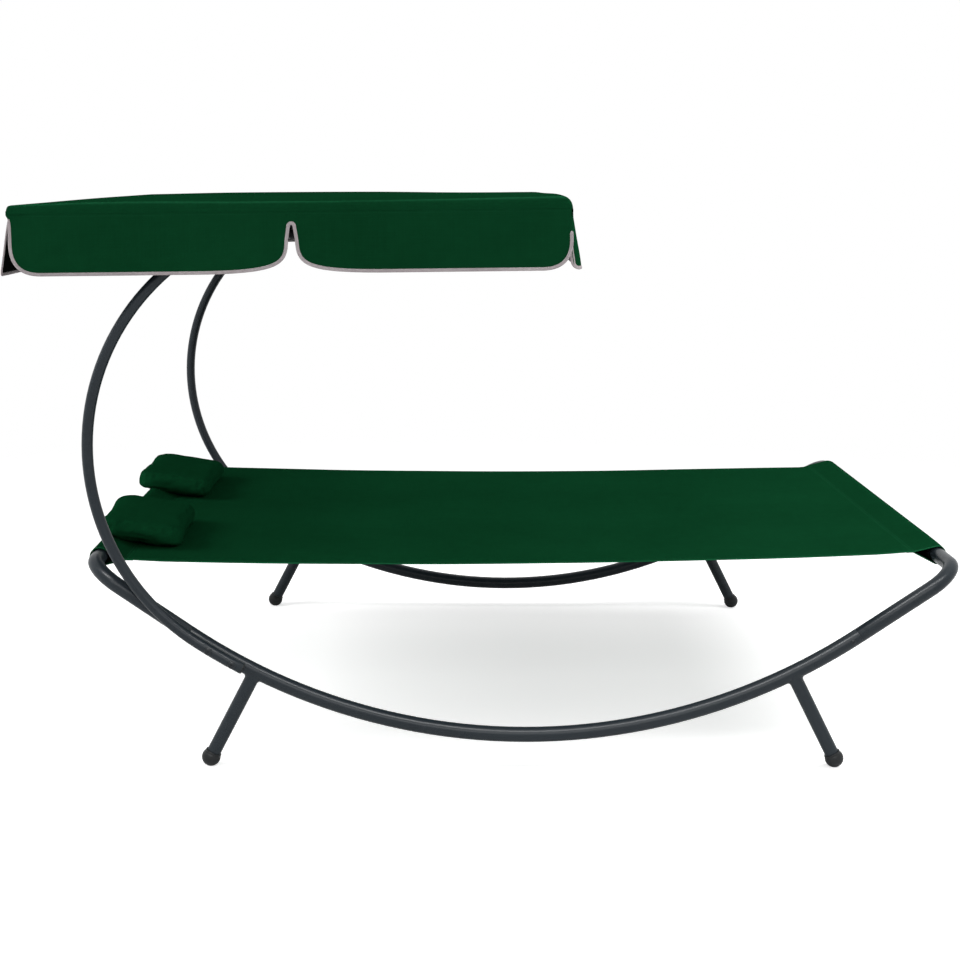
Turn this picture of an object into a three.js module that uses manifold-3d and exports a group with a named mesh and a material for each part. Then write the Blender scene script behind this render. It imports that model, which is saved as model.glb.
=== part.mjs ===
// A double sun lounger: curved tube frame, slung cloth bed, two loose pillows and a tilting canopy.
// Millimetres, +Z up. X runs from the head end to the foot end, and +Y is the user's left side.
import * as THREE from 'three';
import { mergeVertices } from 'three/addons/utils/BufferGeometryUtils.js';
import Module from 'manifold-3d';

const wasm = await Module();
wasm.setup();
const { degToRad } = THREE.MathUtils;

// Bed frame
const bedLength = 2000;
const railSpacing = 1500;
const railDiameter = 35;
const railWall = 1.5;
const rockerRadius = 1343;
const railClearance = 57.2;
const endReach = 219;
const endBend = 75;
const sleeveReach = 45;
const sleeveSlack = 0.9;
const sleeveWall = 1.5;

// Legs and their ball feet
const legInset = 174.6;
const legDiameter = 32;
const legWall = 1.5;
const footDiameter = 43;
const footFlat = 1.5;
const footSocketDepth = 4;

// Canopy posts, each one arc that runs on into the line of its rail
const postDiameter = 25;
const postWall = 1.5;
const postRadius = 522.5;
const postFootInset = 143;
const postTangentInset = 29.2;
const pivotAngle = degToRad(173.3);

// Fasteners of the frame
const postBoltDiameter = 8;
const postBoltInset = 25;
const postBoltSpacing = 60;
const postBoltHeadDiameter = 18;
const postBoltHeadHeight = 4;
const headRimShare = 0.25;
const headShoulderShare = 0.8;
const headCrownShare = 0.7;
const nutDiameter = 15;
const nutHeight = 9;
const nutDome = 3;
const jointScrewDiameter = 6;
const jointScrewInset = 20;
const jointScrewReach = 7;
const jointScrewHeadDiameter = 11;
const jointScrewHeadHeight = 3;
const holeSlack = 0.35;

// Collars on the posts, which hold the canopy's pivot tube, and their clamping knobs
const collarWall = 4.2;
const collarLength = 44;
const collarSlack = 0.35;
const collarStubReach = 38;
const postEndGap = 0.6;
const knobBossDiameter = 18;
const knobBossHeight = 9;
const knobStudDiameter = 8;
const knobDiameter = 40;
const knobHeight = 22;
const knobLobeDepth = 4;
const knobLobes = 6;
const knobNeck = 3;
const knobBevelShare = 0.125;

// Canopy frame
const canopyLength = 1187;
const canopyOverhang = 115;
const canopyRestTilt = degToRad(1.1);
const canopyCrown = 6;
const canopyTube = 22;
const canopyTubeWall = 1.2;
const canopyBend = 45;
const canopyLegLength = 60;
const canopySleeveReach = 40;
const crossTube = 25;
const crossTubeWall = 1.5;
const crossTabThickness = 4;
const crossTabWidth = 26;
const crossTabLap = 10;
const crossTubeInset = 10;
const canopyBoltDiameter = 6;
const canopyBoltReach = 12;
const canopyBoltHeadDiameter = 12;
const canopyBoltHeadHeight = 4;

// Canopy cover, its valances and the binding sewn round their edges
const coverThickness = 2;
const coverSag = 6;
const coverHem = 3;
const coverCornerRadius = 12;
const innerCornerShare = 0.125;
const coverRingShares = [0.25, 0.55, 0.82];
const valanceDrop = 126;
const sideValanceCorner = 62;
const endValanceCorner = 14;
const valanceEndFlare = 20;
const valanceSideFlare = 9;
const endPanelInset = 8;
const headSlitDrop = 9;
const footSlitDrop = 47;
const bindingWidth = 8;
const bindingThickness = 4.6;
const notchHeight = 102;
const notchTipRadius = 6.5;
const notchWaist = 11;
const notchWaistHeight = 67;
const notchMouth = 200;
const notchShoulderShare = 0.11;
const notchHipShare = 1.18;
const notchHipHeightShare = 0.27;
const sideNotches = 1;
const endNotches = 2;

// Bed cloth, sewn round both end tubes
const clothThickness = 2.4;
const clothHeadWidth = 1290;
const clothFootWidth = 1220;
const clothFootShift = 27;
const seamInset = 60;
const seamRise = 9;
const clothSag = 24;
const clothLowestShift = 200;
const clothCrossSag = 14;

// Pillows
const pillowLength = 222;
const pillowWidth = 372;
const pillowCrown = 36;
const pillowBelly = 8;
const rightPillowOverhang = 60;
const leftPillowOverhang = 65;
const pillowSettle = 0.8;
const pillowTilt = degToRad(9.5);
const pillowSidePull = 7;
const pillowEndPull = 9;
const pillowCornerPower = 0.36;
const crownShares = [[0.4, 0.98], [0.7, 0.93], [0.9, 0.82], [0.975, 0.62]];
const rightPillowPlace = -355;
const leftPillowPlace = 289;

// General
const gap = 0.3;
const overrun = 5;

// How finely the round and curved forms are divided
const tubeSides = 12;
const boreSides = 16;
const holeSides = 8;
const fastenerSides = 8;
const bindingSides = 6;
const rockerSteps = 5;
const bendSteps = 5;
const canopyBendSteps = 4;
const postFootSteps = 2;
const postSteps = 15;
const ballSteps = 8;
const lobePoints = 5;
const loopSteps = 8;
const loopSides = 10;
const clothLengthSteps = 12;
const clothWidthSteps = 8;
const pillowPoints = 32;
const cornerSteps = 4;
const edgeSteps = 8;
const archSteps = 4;
const rollSteps = 3;
const notchSteps = 5;

// Worked out from the sizes above
const railRadius = railDiameter / 2;
const railSide = railSpacing / 2;
const rockerCentreHeight = railClearance + railRadius + rockerRadius;
const barReach = bedLength / 2 - railRadius;
const rockerHalfSweep = Math.asin((barReach - endReach) / rockerRadius);
const arcHeight = rockerCentreHeight - rockerRadius * Math.cos(rockerHalfSweep);
const barHeight = arcHeight + endReach * Math.tan(rockerHalfSweep);
const legAngle = rockerHalfSweep - legInset / rockerRadius;
const postFootAngle = rockerHalfSweep - postFootInset / rockerRadius;
const postTangentAngle = rockerHalfSweep - postTangentInset / rockerRadius;
const legRadius = legDiameter / 2;
const footRadius = footDiameter / 2;
const postTubeRadius = postDiameter / 2;
const postSide = railSide + railRadius + gap + postTubeRadius;
const crossTubeRadius = crossTube / 2;
const collarRadius = crossTubeRadius + collarSlack + collarWall;
const pivotToRockerRadius = rockerRadius - postRadius;
const postCentreX = -pivotToRockerRadius * Math.sin(postTangentAngle);
const postCentreHeight = rockerCentreHeight - pivotToRockerRadius * Math.cos(postTangentAngle);
const pivotX = postCentreX - postRadius * Math.sin(pivotAngle);
const pivotHeight = postCentreHeight - postRadius * Math.cos(pivotAngle);
const canopyWidth = railSpacing + 2 * canopyOverhang;
const canopyTubeRadius = canopyTube / 2;
const sideTubeHeight = crossTabThickness / 2 + gap + canopyTubeRadius;
const coverRoll = canopyTubeRadius + gap + coverThickness;
const coverTop = sideTubeHeight + coverRoll;
const sideTubeSide = canopyWidth / 2 - coverRoll;
const endTubeReach = canopyLength / 2 - coverRoll;
const canopyJoint = endTubeReach - canopyBend - canopyLegLength;
const valanceTop = sideTubeHeight - coverHem - gap;

// Finishes
const frameFinish = { color: 0x33383c, roughness: 0.38, metalness: 0.35 };
const plasticFinish = { color: 0x1b1d1f, roughness: 0.5, metalness: 0 };
const zincFinish = { color: 0x2b2e31, roughness: 0.35, metalness: 0.8 };
const clothFinish = { color: 0x0a341c, roughness: 0.9, metalness: 0 };
const bindingFinish = { color: 0xa2989a, roughness: 0.7, metalness: 0 };

const lounger = new THREE.Group();
const canopy = new THREE.Group();
canopy.position.set(pivotX, 0, pivotHeight);
canopy.rotation.y = -canopyRestTilt;
lounger.add(canopy);

const vec = (x, y, z) => new THREE.Vector3(x, y, z);
const alongX = vec(1, 0, 0);
const alongY = vec(0, 1, 0);
const alongZ = vec(0, 0, 1);

function addPart(parent, name, geometry, finish) {
  const mesh = new THREE.Mesh(geometry, new THREE.MeshStandardMaterial(finish));
  mesh.name = name;
  parent.add(mesh);
  return mesh;
}

// Solids are joined and cut as closed, welded meshes
function toSolid(geometry) {
  const bare = geometry.index ? geometry.toNonIndexed() : geometry.clone();
  bare.deleteAttribute('normal');
  bare.deleteAttribute('uv');
  const welded = mergeVertices(bare);
  const vertProperties = Float32Array.from(welded.attributes.position.array);
  const triVerts = Uint32Array.from(welded.index.array);
  return new wasm.Manifold(new wasm.Mesh({ numProp: 3, vertProperties, triVerts }));
}

function toGeometry(solid) {
  const mesh = solid.getMesh();
  const geometry = new THREE.BufferGeometry();
  geometry.setAttribute('position', new THREE.BufferAttribute(Float32Array.from(mesh.vertProperties), 3));
  geometry.setIndex(new THREE.BufferAttribute(Uint32Array.from(mesh.triVerts), 1));
  const flat = geometry.toNonIndexed();
  flat.computeVertexNormals();
  return flat;
}

function cut(body, ...tools) {
  return toGeometry(tools.reduce((solid, tool) => solid.subtract(toSolid(tool)), toSolid(body)));
}

function join(body, ...others) {
  return toGeometry(others.reduce((solid, other) => solid.add(toSolid(other)), toSolid(body)));
}

// A curve given by its own stations, each a point and the direction of travel there
class StationCurve extends THREE.Curve {
  constructor(stations) {
    super();
    this.stations = stations;
  }
  station(t) {
    return this.stations[Math.round(t * (this.stations.length - 1))];
  }
  getPoint(t, target = new THREE.Vector3()) {
    return target.copy(this.station(t).point);
  }
  getPointAt(t, target = new THREE.Vector3()) {
    return target.copy(this.station(t).point);
  }
  getTangentAt(t, target = new THREE.Vector3()) {
    return target.copy(this.station(t).tangent);
  }
}

function ovalPoints(radiusX, radiusY, sides) {
  return Array.from({ length: sides }, (unused, i) => {
    const turn = (2 * Math.PI * i) / sides;
    return new THREE.Vector2(radiusX * Math.cos(turn), radiusY * Math.sin(turn));
  });
}

function sweepSection(stations, section) {
  const extrudePath = new StationCurve(stations);
  const steps = stations.length - 1;
  return new THREE.ExtrudeGeometry(section, { extrudePath, steps, bevelEnabled: false });
}

// A round tube, or a rod where it has no bore, swept through stations
function sweep(stations, radius, boreRadius = 0, sides = tubeSides) {
  const section = new THREE.Shape(ovalPoints(radius, radius, sides));
  const bore = ovalPoints(boreRadius, boreRadius, sides).reverse();
  if (boreRadius > 0) section.holes.push(new THREE.Path(bore));
  return sweepSection(stations, section);
}

function straight(from, to) {
  const tangent = to.clone().sub(from).normalize();
  return [from, to].map((point) => ({ point, tangent }));
}

const rod = (from, to, radius, boreRadius = 0, sides = tubeSides) =>
  sweep(straight(from, to), radius, boreRadius, sides);

// A round cutter whose flats, not its corners, lie on the stated radius
const drill = (from, to, radius, sides = holeSides) =>
  rod(from, to, radius / Math.cos(Math.PI / sides), 0, sides);

function spread(from, to, steps) {
  return Array.from({ length: steps + 1 }, (unused, i) => from + ((to - from) * i) / steps);
}

// A point on the rocker arc, with the direction that climbs outwards from the middle of the bed
function climb(end, angle, side) {
  const height = rockerCentreHeight - rockerRadius * Math.cos(angle);
  return {
    point: vec(end * rockerRadius * Math.sin(angle), side, height),
    tangent: vec(end * Math.cos(angle), 0, Math.sin(angle)),
  };
}

// A point on a canopy post's arc, by the angle that has turned since straight down
function postStation(angle, side) {
  const height = postCentreHeight - postRadius * Math.cos(angle);
  return {
    point: vec(postCentreX - postRadius * Math.sin(angle), side, height),
    tangent: vec(-Math.cos(angle), 0, Math.sin(angle)),
  };
}

// A U-shaped tube: up one leg, across along Y through the stations given, and down the other leg
function uTubeStations(legStart, up, corner, bend, steps, across = []) {
  const mirror = (v) => vec(v.x, -v.y, v.z);
  const rightBend = spread(0, Math.PI / 2, steps).map((angle) => {
    const point = corner.clone().addScaledVector(up, bend * (Math.sin(angle) - 1));
    point.addScaledVector(alongY, bend * (1 - Math.cos(angle)));
    const tangent = up.clone().multiplyScalar(Math.cos(angle)).addScaledVector(alongY, Math.sin(angle));
    return { point, tangent };
  });
  const leftBend = rightBend.map(({ point, tangent }) => {
    return { point: mirror(point), tangent: mirror(tangent).negate() };
  }).reverse();
  const start = { point: legStart, tangent: up };
  const finish = { point: mirror(legStart), tangent: up.clone().negate() };
  return [start, ...rightBend, ...across, ...leftBend, finish];
}

const sides = [{ name: 'right', sign: -1 }, { name: 'left', sign: 1 }];
const ends = [{ name: 'head', sign: -1 }, { name: 'foot', sign: 1 }];

// Places along the rocker that the bolts and screws share with the holes made for them
const postBoltRuns = [postBoltInset, postBoltInset + postBoltSpacing];
const postBoltAngles = postBoltRuns.map((run) => postFootAngle + run / rockerRadius);
const jointScrewAngle = rockerHalfSweep - jointScrewInset / rockerRadius;

function crossHole(station, diameter, reach) {
  const across = alongY.clone().multiplyScalar(reach);
  const { point } = station;
  return drill(point.clone().sub(across), point.clone().add(across), diameter / 2 + holeSlack);
}

// A joint screw goes in from outside at the foot end, and from inside at the head end, behind the post
const screwFacing = (end, side) => end.sign * side.sign;

function screwHole(end, side) {
  const { point } = climb(end.sign, jointScrewAngle, side.sign * railSide);
  const outer = point.clone().addScaledVector(alongY, screwFacing(end, side) * (railRadius + overrun));
  return drill(point, outer, jointScrewDiameter / 2 + holeSlack);
}

// The rail has a station where each leg is coped to it and where each sleeve ends inside it
const sleeveAngle = rockerHalfSweep - sleeveReach / rockerRadius;
const railHalfAngles = [...spread(0, legAngle, rockerSteps).slice(1), sleeveAngle, rockerHalfSweep];

function sideRail(side) {
  const angles = [...railHalfAngles.map((angle) => -angle).reverse(), 0, ...railHalfAngles];
  const stations = angles.map((angle) => climb(1, angle, side.sign * railSide));
  const tube = sweep(stations, railRadius, railRadius - railWall);
  const boltHoles = postBoltAngles.map((angle) =>
    crossHole(climb(-1, angle, side.sign * railSide), postBoltDiameter, railRadius + overrun));
  return cut(tube, ...boltHoles, ...ends.map((end) => screwHole(end, side)));
}

function endTube(end) {
  const up = climb(end.sign, rockerHalfSweep, 0).tangent;
  const start = climb(end.sign, rockerHalfSweep, -railSide).point.addScaledVector(up, gap);
  const corner = vec(end.sign * barReach, -railSide, barHeight);
  return sweep(uTubeStations(start, up, corner, endBend, bendSteps), railRadius, railRadius - railWall);
}

function jointSleeve(end, side) {
  const place = side.sign * railSide;
  const arcPart = [sleeveAngle, rockerHalfSweep].map((angle) => climb(end.sign, angle, place));
  const { point, tangent } = arcPart[arcPart.length - 1];
  const straightEnd = { point: point.clone().addScaledVector(tangent, sleeveReach), tangent };
  const radius = railRadius - railWall - sleeveSlack;
  return cut(sweep([...arcPart, straightEnd], radius, radius - sleeveWall), screwHole(end, side));
}

function boltAlongY(from, outwards, shankReach, shankDiameter, headDiameter, headHeight) {
  const shank = shankDiameter / 2;
  const head = headDiameter / 2;
  const profile = [
    [0, -shankReach], [shank, -shankReach], [shank, 0], [head, 0], [head, headHeight * headRimShare],
    [head * headCrownShare, headHeight * headShoulderShare], [0, headHeight],
  ].map(([radius, height]) => new THREE.Vector2(radius, height));
  const bolt = new THREE.LatheGeometry(profile, fastenerSides);
  bolt.applyQuaternion(new THREE.Quaternion().setFromUnitVectors(alongY, outwards));
  return bolt.translate(from.x, from.y, from.z);
}

function jointScrew(end, side) {
  const outwards = vec(0, screwFacing(end, side), 0);
  const { point } = climb(end.sign, jointScrewAngle, side.sign * railSide);
  point.addScaledVector(outwards, railRadius + gap);
  const head = [jointScrewHeadDiameter, jointScrewHeadHeight];
  return boltAlongY(point, outwards, jointScrewReach, jointScrewDiameter, ...head);
}

// A post bolt runs in from the outside, through post and rail, to a cap nut on the inside
const postBoltGrip = postDiameter + railDiameter + 3 * gap;

function postBolt(side, angle) {
  const outwards = vec(0, side.sign, 0);
  const { point } = climb(-1, angle, side.sign * (postSide + postTubeRadius + gap));
  const head = [postBoltHeadDiameter, postBoltHeadHeight];
  return boltAlongY(point, outwards, postBoltGrip + nutHeight / 2, postBoltDiameter, ...head);
}

function capNut(side, angle) {
  const bore = (postBoltDiameter / 2 + gap) / Math.cos(Math.PI / fastenerSides);
  const outer = nutDiameter / 2;
  const boreEnd = nutHeight / 2 + gap;
  const profile = [
    [0, boreEnd], [bore, boreEnd], [bore, 0], [outer, 0],
    [outer, nutHeight - nutDome], [outer - nutDome, nutHeight], [0, nutHeight],
  ].map(([radius, height]) => new THREE.Vector2(radius, height));
  const nut = new THREE.LatheGeometry(profile, fastenerSides);
  nut.applyQuaternion(new THREE.Quaternion().setFromUnitVectors(alongY, vec(0, -side.sign, 0)));
  const { point } = climb(-1, angle, side.sign * (railSide - railRadius - gap));
  return nut.translate(point.x, point.y, point.z);
}

// Legs stand square to the rail, so their heads are coped to its round underside
const legHead = (end, side) => climb(end.sign, legAngle, side.sign * railSide).point;
const legDirection = (end) => vec(end.sign * Math.sin(legAngle), 0, -Math.cos(legAngle));
const footHeight = footRadius - footFlat;

function footCentre(end, side) {
  const head = legHead(end, side);
  return head.addScaledVector(legDirection(end), (head.z - footHeight) / Math.cos(legAngle));
}

function leg(end, side) {
  const foot = footCentre(end, side).addScaledVector(legDirection(end), footSocketDepth - gap);
  const tube = rod(foot, legHead(end, side), legRadius, legRadius - legWall);
  const along = climb(end.sign, legAngle, side.sign * railSide).tangent.multiplyScalar(railDiameter);
  const head = legHead(end, side);
  const cope = drill(head.clone().sub(along), head.clone().add(along), railRadius + gap, boreSides);
  return cut(tube, cope);
}

function ballFoot(end, side) {
  const socket = (legRadius + gap) / Math.cos(Math.PI / boreSides);
  const topAngle = Math.asin(socket / footRadius);
  const ball = spread(Math.PI, topAngle, ballSteps).map((angle) =>
    new THREE.Vector2(footRadius * Math.sin(angle), footRadius * Math.cos(angle)));
  ball[0].x = 0;
  const seat = [socket, 0].map((radius) => new THREE.Vector2(radius, -footSocketDepth));
  const foot = new THREE.LatheGeometry([...ball, ...seat], boreSides);
  foot.applyQuaternion(new THREE.Quaternion().setFromUnitVectors(alongY, legDirection(end).negate()));
  const centre = footCentre(end, side);
  foot.translate(centre.x, centre.y, centre.z);
  const floor = new THREE.BoxGeometry(2 * footDiameter, 2 * footDiameter, footDiameter);
  floor.translate(centre.x, centre.y, -footDiameter / 2);
  return cut(foot, floor);
}

const postEndAngle = pivotAngle - (collarRadius + postEndGap) / postRadius;
const stubEndAngle = postEndAngle - collarStubReach / postRadius;

function canopyPost(side) {
  const place = side.sign * postSide;
  const railAngles = spread(postFootAngle, postTangentAngle, postFootSteps);
  const alongRail = railAngles.map((angle) => climb(-1, angle, place));
  const arcAngles = [...spread(postTangentAngle, stubEndAngle, postSteps).slice(1), postEndAngle];
  const arc = arcAngles.map((angle) => postStation(angle, place));
  const tube = sweep([...alongRail, ...arc], postTubeRadius, postTubeRadius - postWall);
  const holes = postBoltAngles.map((angle) =>
    crossHole(climb(-1, angle, place), postBoltDiameter, postTubeRadius + overrun));
  return cut(tube, ...holes);
}

// Each collar is welded to a stub inside the post's end, with a boss below for the knob's stud
function postCollar(side) {
  const place = side.sign * postSide;
  const centre = vec(pivotX, place, pivotHeight);
  const half = alongY.clone().multiplyScalar(collarLength / 2);
  const ring = rod(centre.clone().sub(half), centre.clone().add(half), collarRadius);
  const stubStart = pivotAngle - crossTubeRadius / postRadius;
  const stubRadius = postTubeRadius - postWall - sleeveSlack;
  const stubAngles = [stubEndAngle, postEndAngle, stubStart];
  const stub = sweep(stubAngles.map((angle) => postStation(angle, place)), stubRadius);
  const bossEnd = centre.clone().addScaledVector(alongZ, -collarRadius - knobBossHeight);
  const boss = rod(bossEnd, centre, knobBossDiameter / 2);
  const bore = half.clone().multiplyScalar(2);
  const boreRadius = crossTubeRadius + collarSlack;
  const through = drill(centre.clone().sub(bore), centre.clone().add(bore), boreRadius, boreSides);
  const below = bossEnd.clone().addScaledVector(alongZ, -overrun);
  const studHole = drill(below, centre, knobStudDiameter / 2 + holeSlack);
  return cut(join(ring, stub, boss), through, studHole);
}

function tiltKnob(side) {
  const outline = spread(0, 2 * Math.PI, lobePoints * knobLobes).slice(1).map((turn) => {
    const radius = knobDiameter / 2 - (knobLobeDepth * (1 - Math.cos(knobLobes * turn))) / 2;
    return new THREE.Vector2(radius * Math.cos(turn), radius * Math.sin(turn));
  });
  const bevel = knobHeight * knobBevelShare;
  const grip = new THREE.ExtrudeGeometry(new THREE.Shape(outline), {
    depth: knobHeight - 2 * bevel,
    bevelThickness: bevel,
    bevelSize: bevel,
    bevelOffset: -bevel,
    bevelSegments: 1,
    steps: 1,
  });
  const gripTop = -collarRadius - knobBossHeight - knobNeck;
  grip.translate(0, 0, gripTop - knobHeight + bevel);
  const studTop = -crossTubeRadius - gap;
  const stud = rod(vec(0, 0, gripTop - knobHeight / 2), vec(0, 0, studTop), knobStudDiameter / 2);
  return join(grip, stud).translate(pivotX, side.sign * postSide, pivotHeight);
}

for (const side of sides) {
  addPart(lounger, `${side.name}_side_rail`, sideRail(side), frameFinish);
  addPart(lounger, `${side.name}_canopy_post`, canopyPost(side), frameFinish);
  addPart(lounger, `${side.name}_post_collar`, postCollar(side), frameFinish);
  addPart(lounger, `${side.name}_tilt_knob`, tiltKnob(side), plasticFinish);
  postBoltAngles.forEach((angle, i) => {
    const place = ['lower', 'upper'][i];
    addPart(lounger, `${side.name}_${place}_post_bolt`, postBolt(side, angle), zincFinish);
    addPart(lounger, `${side.name}_${place}_post_nut`, capNut(side, angle), zincFinish);
  });
  for (const end of ends) {
    const prefix = `${end.name}_${side.name}`;
    addPart(lounger, `${prefix}_leg`, leg(end, side), frameFinish);
    addPart(lounger, `${prefix}_ball_foot`, ballFoot(end, side), plasticFinish);
    addPart(lounger, `${prefix}_rail_sleeve`, jointSleeve(end, side), frameFinish);
    addPart(lounger, `${prefix}_rail_screw`, jointScrew(end, side), zincFinish);
  }
}
for (const end of ends) addPart(lounger, `${end.name}_end_tube`, endTube(end), frameFinish);

// Bed cloth: one sheet whose ends are sewn into sleeves round the end tubes
const seamReach = barReach - seamInset;
const footSeamHeight = barHeight + seamRise;
const sagCurve = clothSag / (seamReach + clothLowestShift) ** 2;
const clothHeight = (x) => footSeamHeight - clothSag + sagCurve * (x + clothLowestShift) ** 2;
const sleeveInner = (railRadius + gap) / Math.cos(Math.PI / loopSides);
const sleeveOuter = sleeveInner + clothThickness;

// The loop of a sleeve's wall at one radius, from the sheet's top face round the tube to its lower face
function sleeveLoop(end, radius) {
  const centre = new THREE.Vector2(end * barReach, barHeight);
  const seam = new THREE.Vector2(end * seamReach, clothHeight(end * seamReach));
  const fromCentre = seam.clone().sub(centre);
  const towards = Math.atan2(fromCentre.y, fromCentre.x);
  const half = Math.acos(radius / fromCentre.length());
  return spread(towards + half, towards + 2 * Math.PI - half, loopSteps).map((angle) =>
    new THREE.Vector2(centre.x + radius * Math.cos(angle), centre.y + radius * Math.sin(angle)));
}

function bedCloth() {
  const half = clothThickness / 2;
  const steps = spread(-seamReach, seamReach, clothLengthSteps);
  const top = steps.map((x) => new THREE.Vector2(x, clothHeight(x) + half));
  const bottom = steps.map((x) => new THREE.Vector2(x, clothHeight(x) - half)).reverse();
  const footLoop = sleeveLoop(1, sleeveOuter).reverse();
  const headLoop = sleeveLoop(-1, sleeveOuter).reverse();
  const outline = new THREE.Shape([...bottom, ...headLoop, ...top, ...footLoop]);
  for (const end of [1, -1]) {
    const tip = new THREE.Vector2(end * (seamReach + clothThickness), clothHeight(end * seamReach));
    outline.holes.push(new THREE.Path([tip, ...sleeveLoop(end, sleeveInner)]));
  }
  const depth = clothHeadWidth;
  const cloth = new THREE.ExtrudeGeometry(outline, { depth, steps: clothWidthSteps, bevelEnabled: false });
  const place = cloth.attributes.position;
  for (let i = 0; i < place.count; i += 1) {
    const x = place.getX(i);
    const share = (2 * place.getZ(i)) / depth - 1;
    const along = (x / barReach + 1) / 2;
    const width = THREE.MathUtils.lerp(clothHeadWidth, clothFootWidth, along);
    const inBed = Math.max(0, 1 - (x / seamReach) ** 2);
    const drop = clothCrossSag * (1 - share ** 2) * inBed;
    place.setXYZ(i, x, -(share * width) / 2 + clothFootShift * along, place.getY(i) - drop);
  }
  return cloth;
}

addPart(lounger, 'bed_cloth', bedCloth(), clothFinish);

// A soft closed form: rings of matching points between an upper and a lower pole
function ringForm(topPole, rings, bottomPole) {
  const count = rings[0].length;
  const points = [topPole, ...rings.flat(), bottomPole];
  const last = points.length - 1;
  const index = [];
  const at = (ring, i) => 1 + ring * count + (i % count);
  for (let i = 0; i < count; i += 1) {
    index.push(0, at(0, i), at(0, i + 1));
    index.push(last, at(rings.length - 1, i + 1), at(rings.length - 1, i));
    for (let ring = 0; ring < rings.length - 1; ring += 1) {
      index.push(at(ring, i), at(ring + 1, i), at(ring + 1, i + 1));
      index.push(at(ring, i), at(ring + 1, i + 1), at(ring, i + 1));
    }
  }
  const geometry = new THREE.BufferGeometry().setFromPoints(points);
  geometry.setIndex(index);
  const flat = geometry.toNonIndexed();
  flat.computeVertexNormals();
  return flat;
}

// A pillow's outline: a rectangle with soft corners, whose edges draw in between them
function pillowOutline(scaleShare) {
  return spread(0, 2 * Math.PI, pillowPoints).slice(1).map((turn) => {
    const x = Math.sign(Math.cos(turn)) * Math.abs(Math.cos(turn)) ** pillowCornerPower;
    const y = Math.sign(Math.sin(turn)) * Math.abs(Math.sin(turn)) ** pillowCornerPower;
    const halfX = pillowLength / 2 - pillowEndPull * (1 - y * y);
    const halfY = pillowWidth / 2 - pillowSidePull * (1 - x * x);
    return new THREE.Vector2(x * halfX * scaleShare, y * halfY * scaleShare);
  });
}

function pillow(place, overhang) {
  const level = (share, height) => pillowOutline(share).map((p) => vec(p.x, p.y, height));
  const upper = crownShares.map(([share, height]) => level(share, height * pillowCrown));
  const lower = crownShares.map(([share, height]) => level(share, -height * pillowBelly)).reverse();
  const seam = level(1, 0);
  const form = ringForm(vec(0, 0, pillowCrown), [...upper, seam, ...lower], vec(0, 0, -pillowBelly));
  const lift = sleeveOuter - pillowSettle + gap + pillowBelly;
  const centreRun = pillowLength / 2 - overhang;
  form.rotateY(pillowTilt);
  const x = -barReach + lift * Math.sin(pillowTilt) + centreRun * Math.cos(pillowTilt);
  const z = barHeight + lift * Math.cos(pillowTilt) - centreRun * Math.sin(pillowTilt);
  return form.translate(x, place, z);
}

addPart(lounger, 'right_pillow', pillow(rightPillowPlace, rightPillowOverhang), clothFinish);
addPart(lounger, 'left_pillow', pillow(leftPillowPlace, leftPillowOverhang), clothFinish);

// Canopy frame, in the canopy's own place: X and Y from the middle of the pivot tube, Z square to the cover
function pivotTube() {
  const tubeReach = sideTubeSide - canopyTubeRadius - crossTubeInset;
  const wall = crossTubeRadius - crossTubeWall;
  const tube = rod(vec(0, -tubeReach, 0), vec(0, tubeReach, 0), crossTubeRadius, wall);
  const tabReach = sideTubeSide + canopyTubeRadius;
  const tabLength = tabReach - tubeReach + crossTabLap;
  const tabs = sides.map(({ sign }) => {
    const tab = new THREE.BoxGeometry(crossTabWidth, tabLength, crossTabThickness);
    return tab.translate(0, sign * (tabReach - tabLength / 2), 0);
  });
  return cut(join(tube, ...tabs), ...sides.map(canopyBoltHole));
}

function canopyBoltHole({ sign }) {
  const low = vec(0, sign * sideTubeSide, -crossTabThickness);
  return drill(low, vec(0, sign * sideTubeSide, sideTubeHeight), canopyBoltDiameter / 2 + holeSlack);
}

function canopySideTube(side) {
  const at = (x) => vec(x, side.sign * sideTubeSide, sideTubeHeight);
  const tube = rod(at(-canopyJoint), at(canopyJoint), canopyTubeRadius, canopyTubeRadius - canopyTubeWall);
  return cut(tube, canopyBoltHole(side));
}

// The end tubes arch up by the crown, and the cover over them has the same arch
const crownAt = (y) => canopyCrown * Math.max(0, 1 - (y / sideTubeSide) ** 2);

function canopyEndTube(end) {
  const up = alongX.clone().multiplyScalar(end.sign);
  const start = vec(end.sign * (canopyJoint + gap), -sideTubeSide, sideTubeHeight);
  const corner = vec(end.sign * endTubeReach, -sideTubeSide, sideTubeHeight);
  const arch = spread(-1, 1, archSteps).slice(1, -1).map((share) => {
    const y = share * (sideTubeSide - canopyBend);
    const slope = (-2 * canopyCrown * y) / sideTubeSide ** 2;
    return { point: vec(corner.x, y, corner.z + crownAt(y)), tangent: vec(0, 1, slope).normalize() };
  });
  const stations = uTubeStations(start, up, corner, canopyBend, canopyBendSteps, arch);
  return sweep(stations, canopyTubeRadius, canopyTubeRadius - canopyTubeWall);
}

function canopySleeve(end, side) {
  const at = (x) => vec(end.sign * x, side.sign * sideTubeSide, sideTubeHeight);
  const radius = canopyTubeRadius - canopyTubeWall - sleeveSlack;
  const inner = at(canopyJoint - canopySleeveReach);
  const outer = at(canopyJoint + canopySleeveReach);
  return rod(inner, outer, radius, radius - canopyTubeWall);
}

function canopyBolt(side) {
  const seat = vec(0, side.sign * sideTubeSide, -crossTabThickness / 2 - gap);
  const head = [canopyBoltHeadDiameter, canopyBoltHeadHeight];
  return boltAlongY(seat, vec(0, 0, -1), canopyBoltReach, canopyBoltDiameter, ...head);
}

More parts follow.
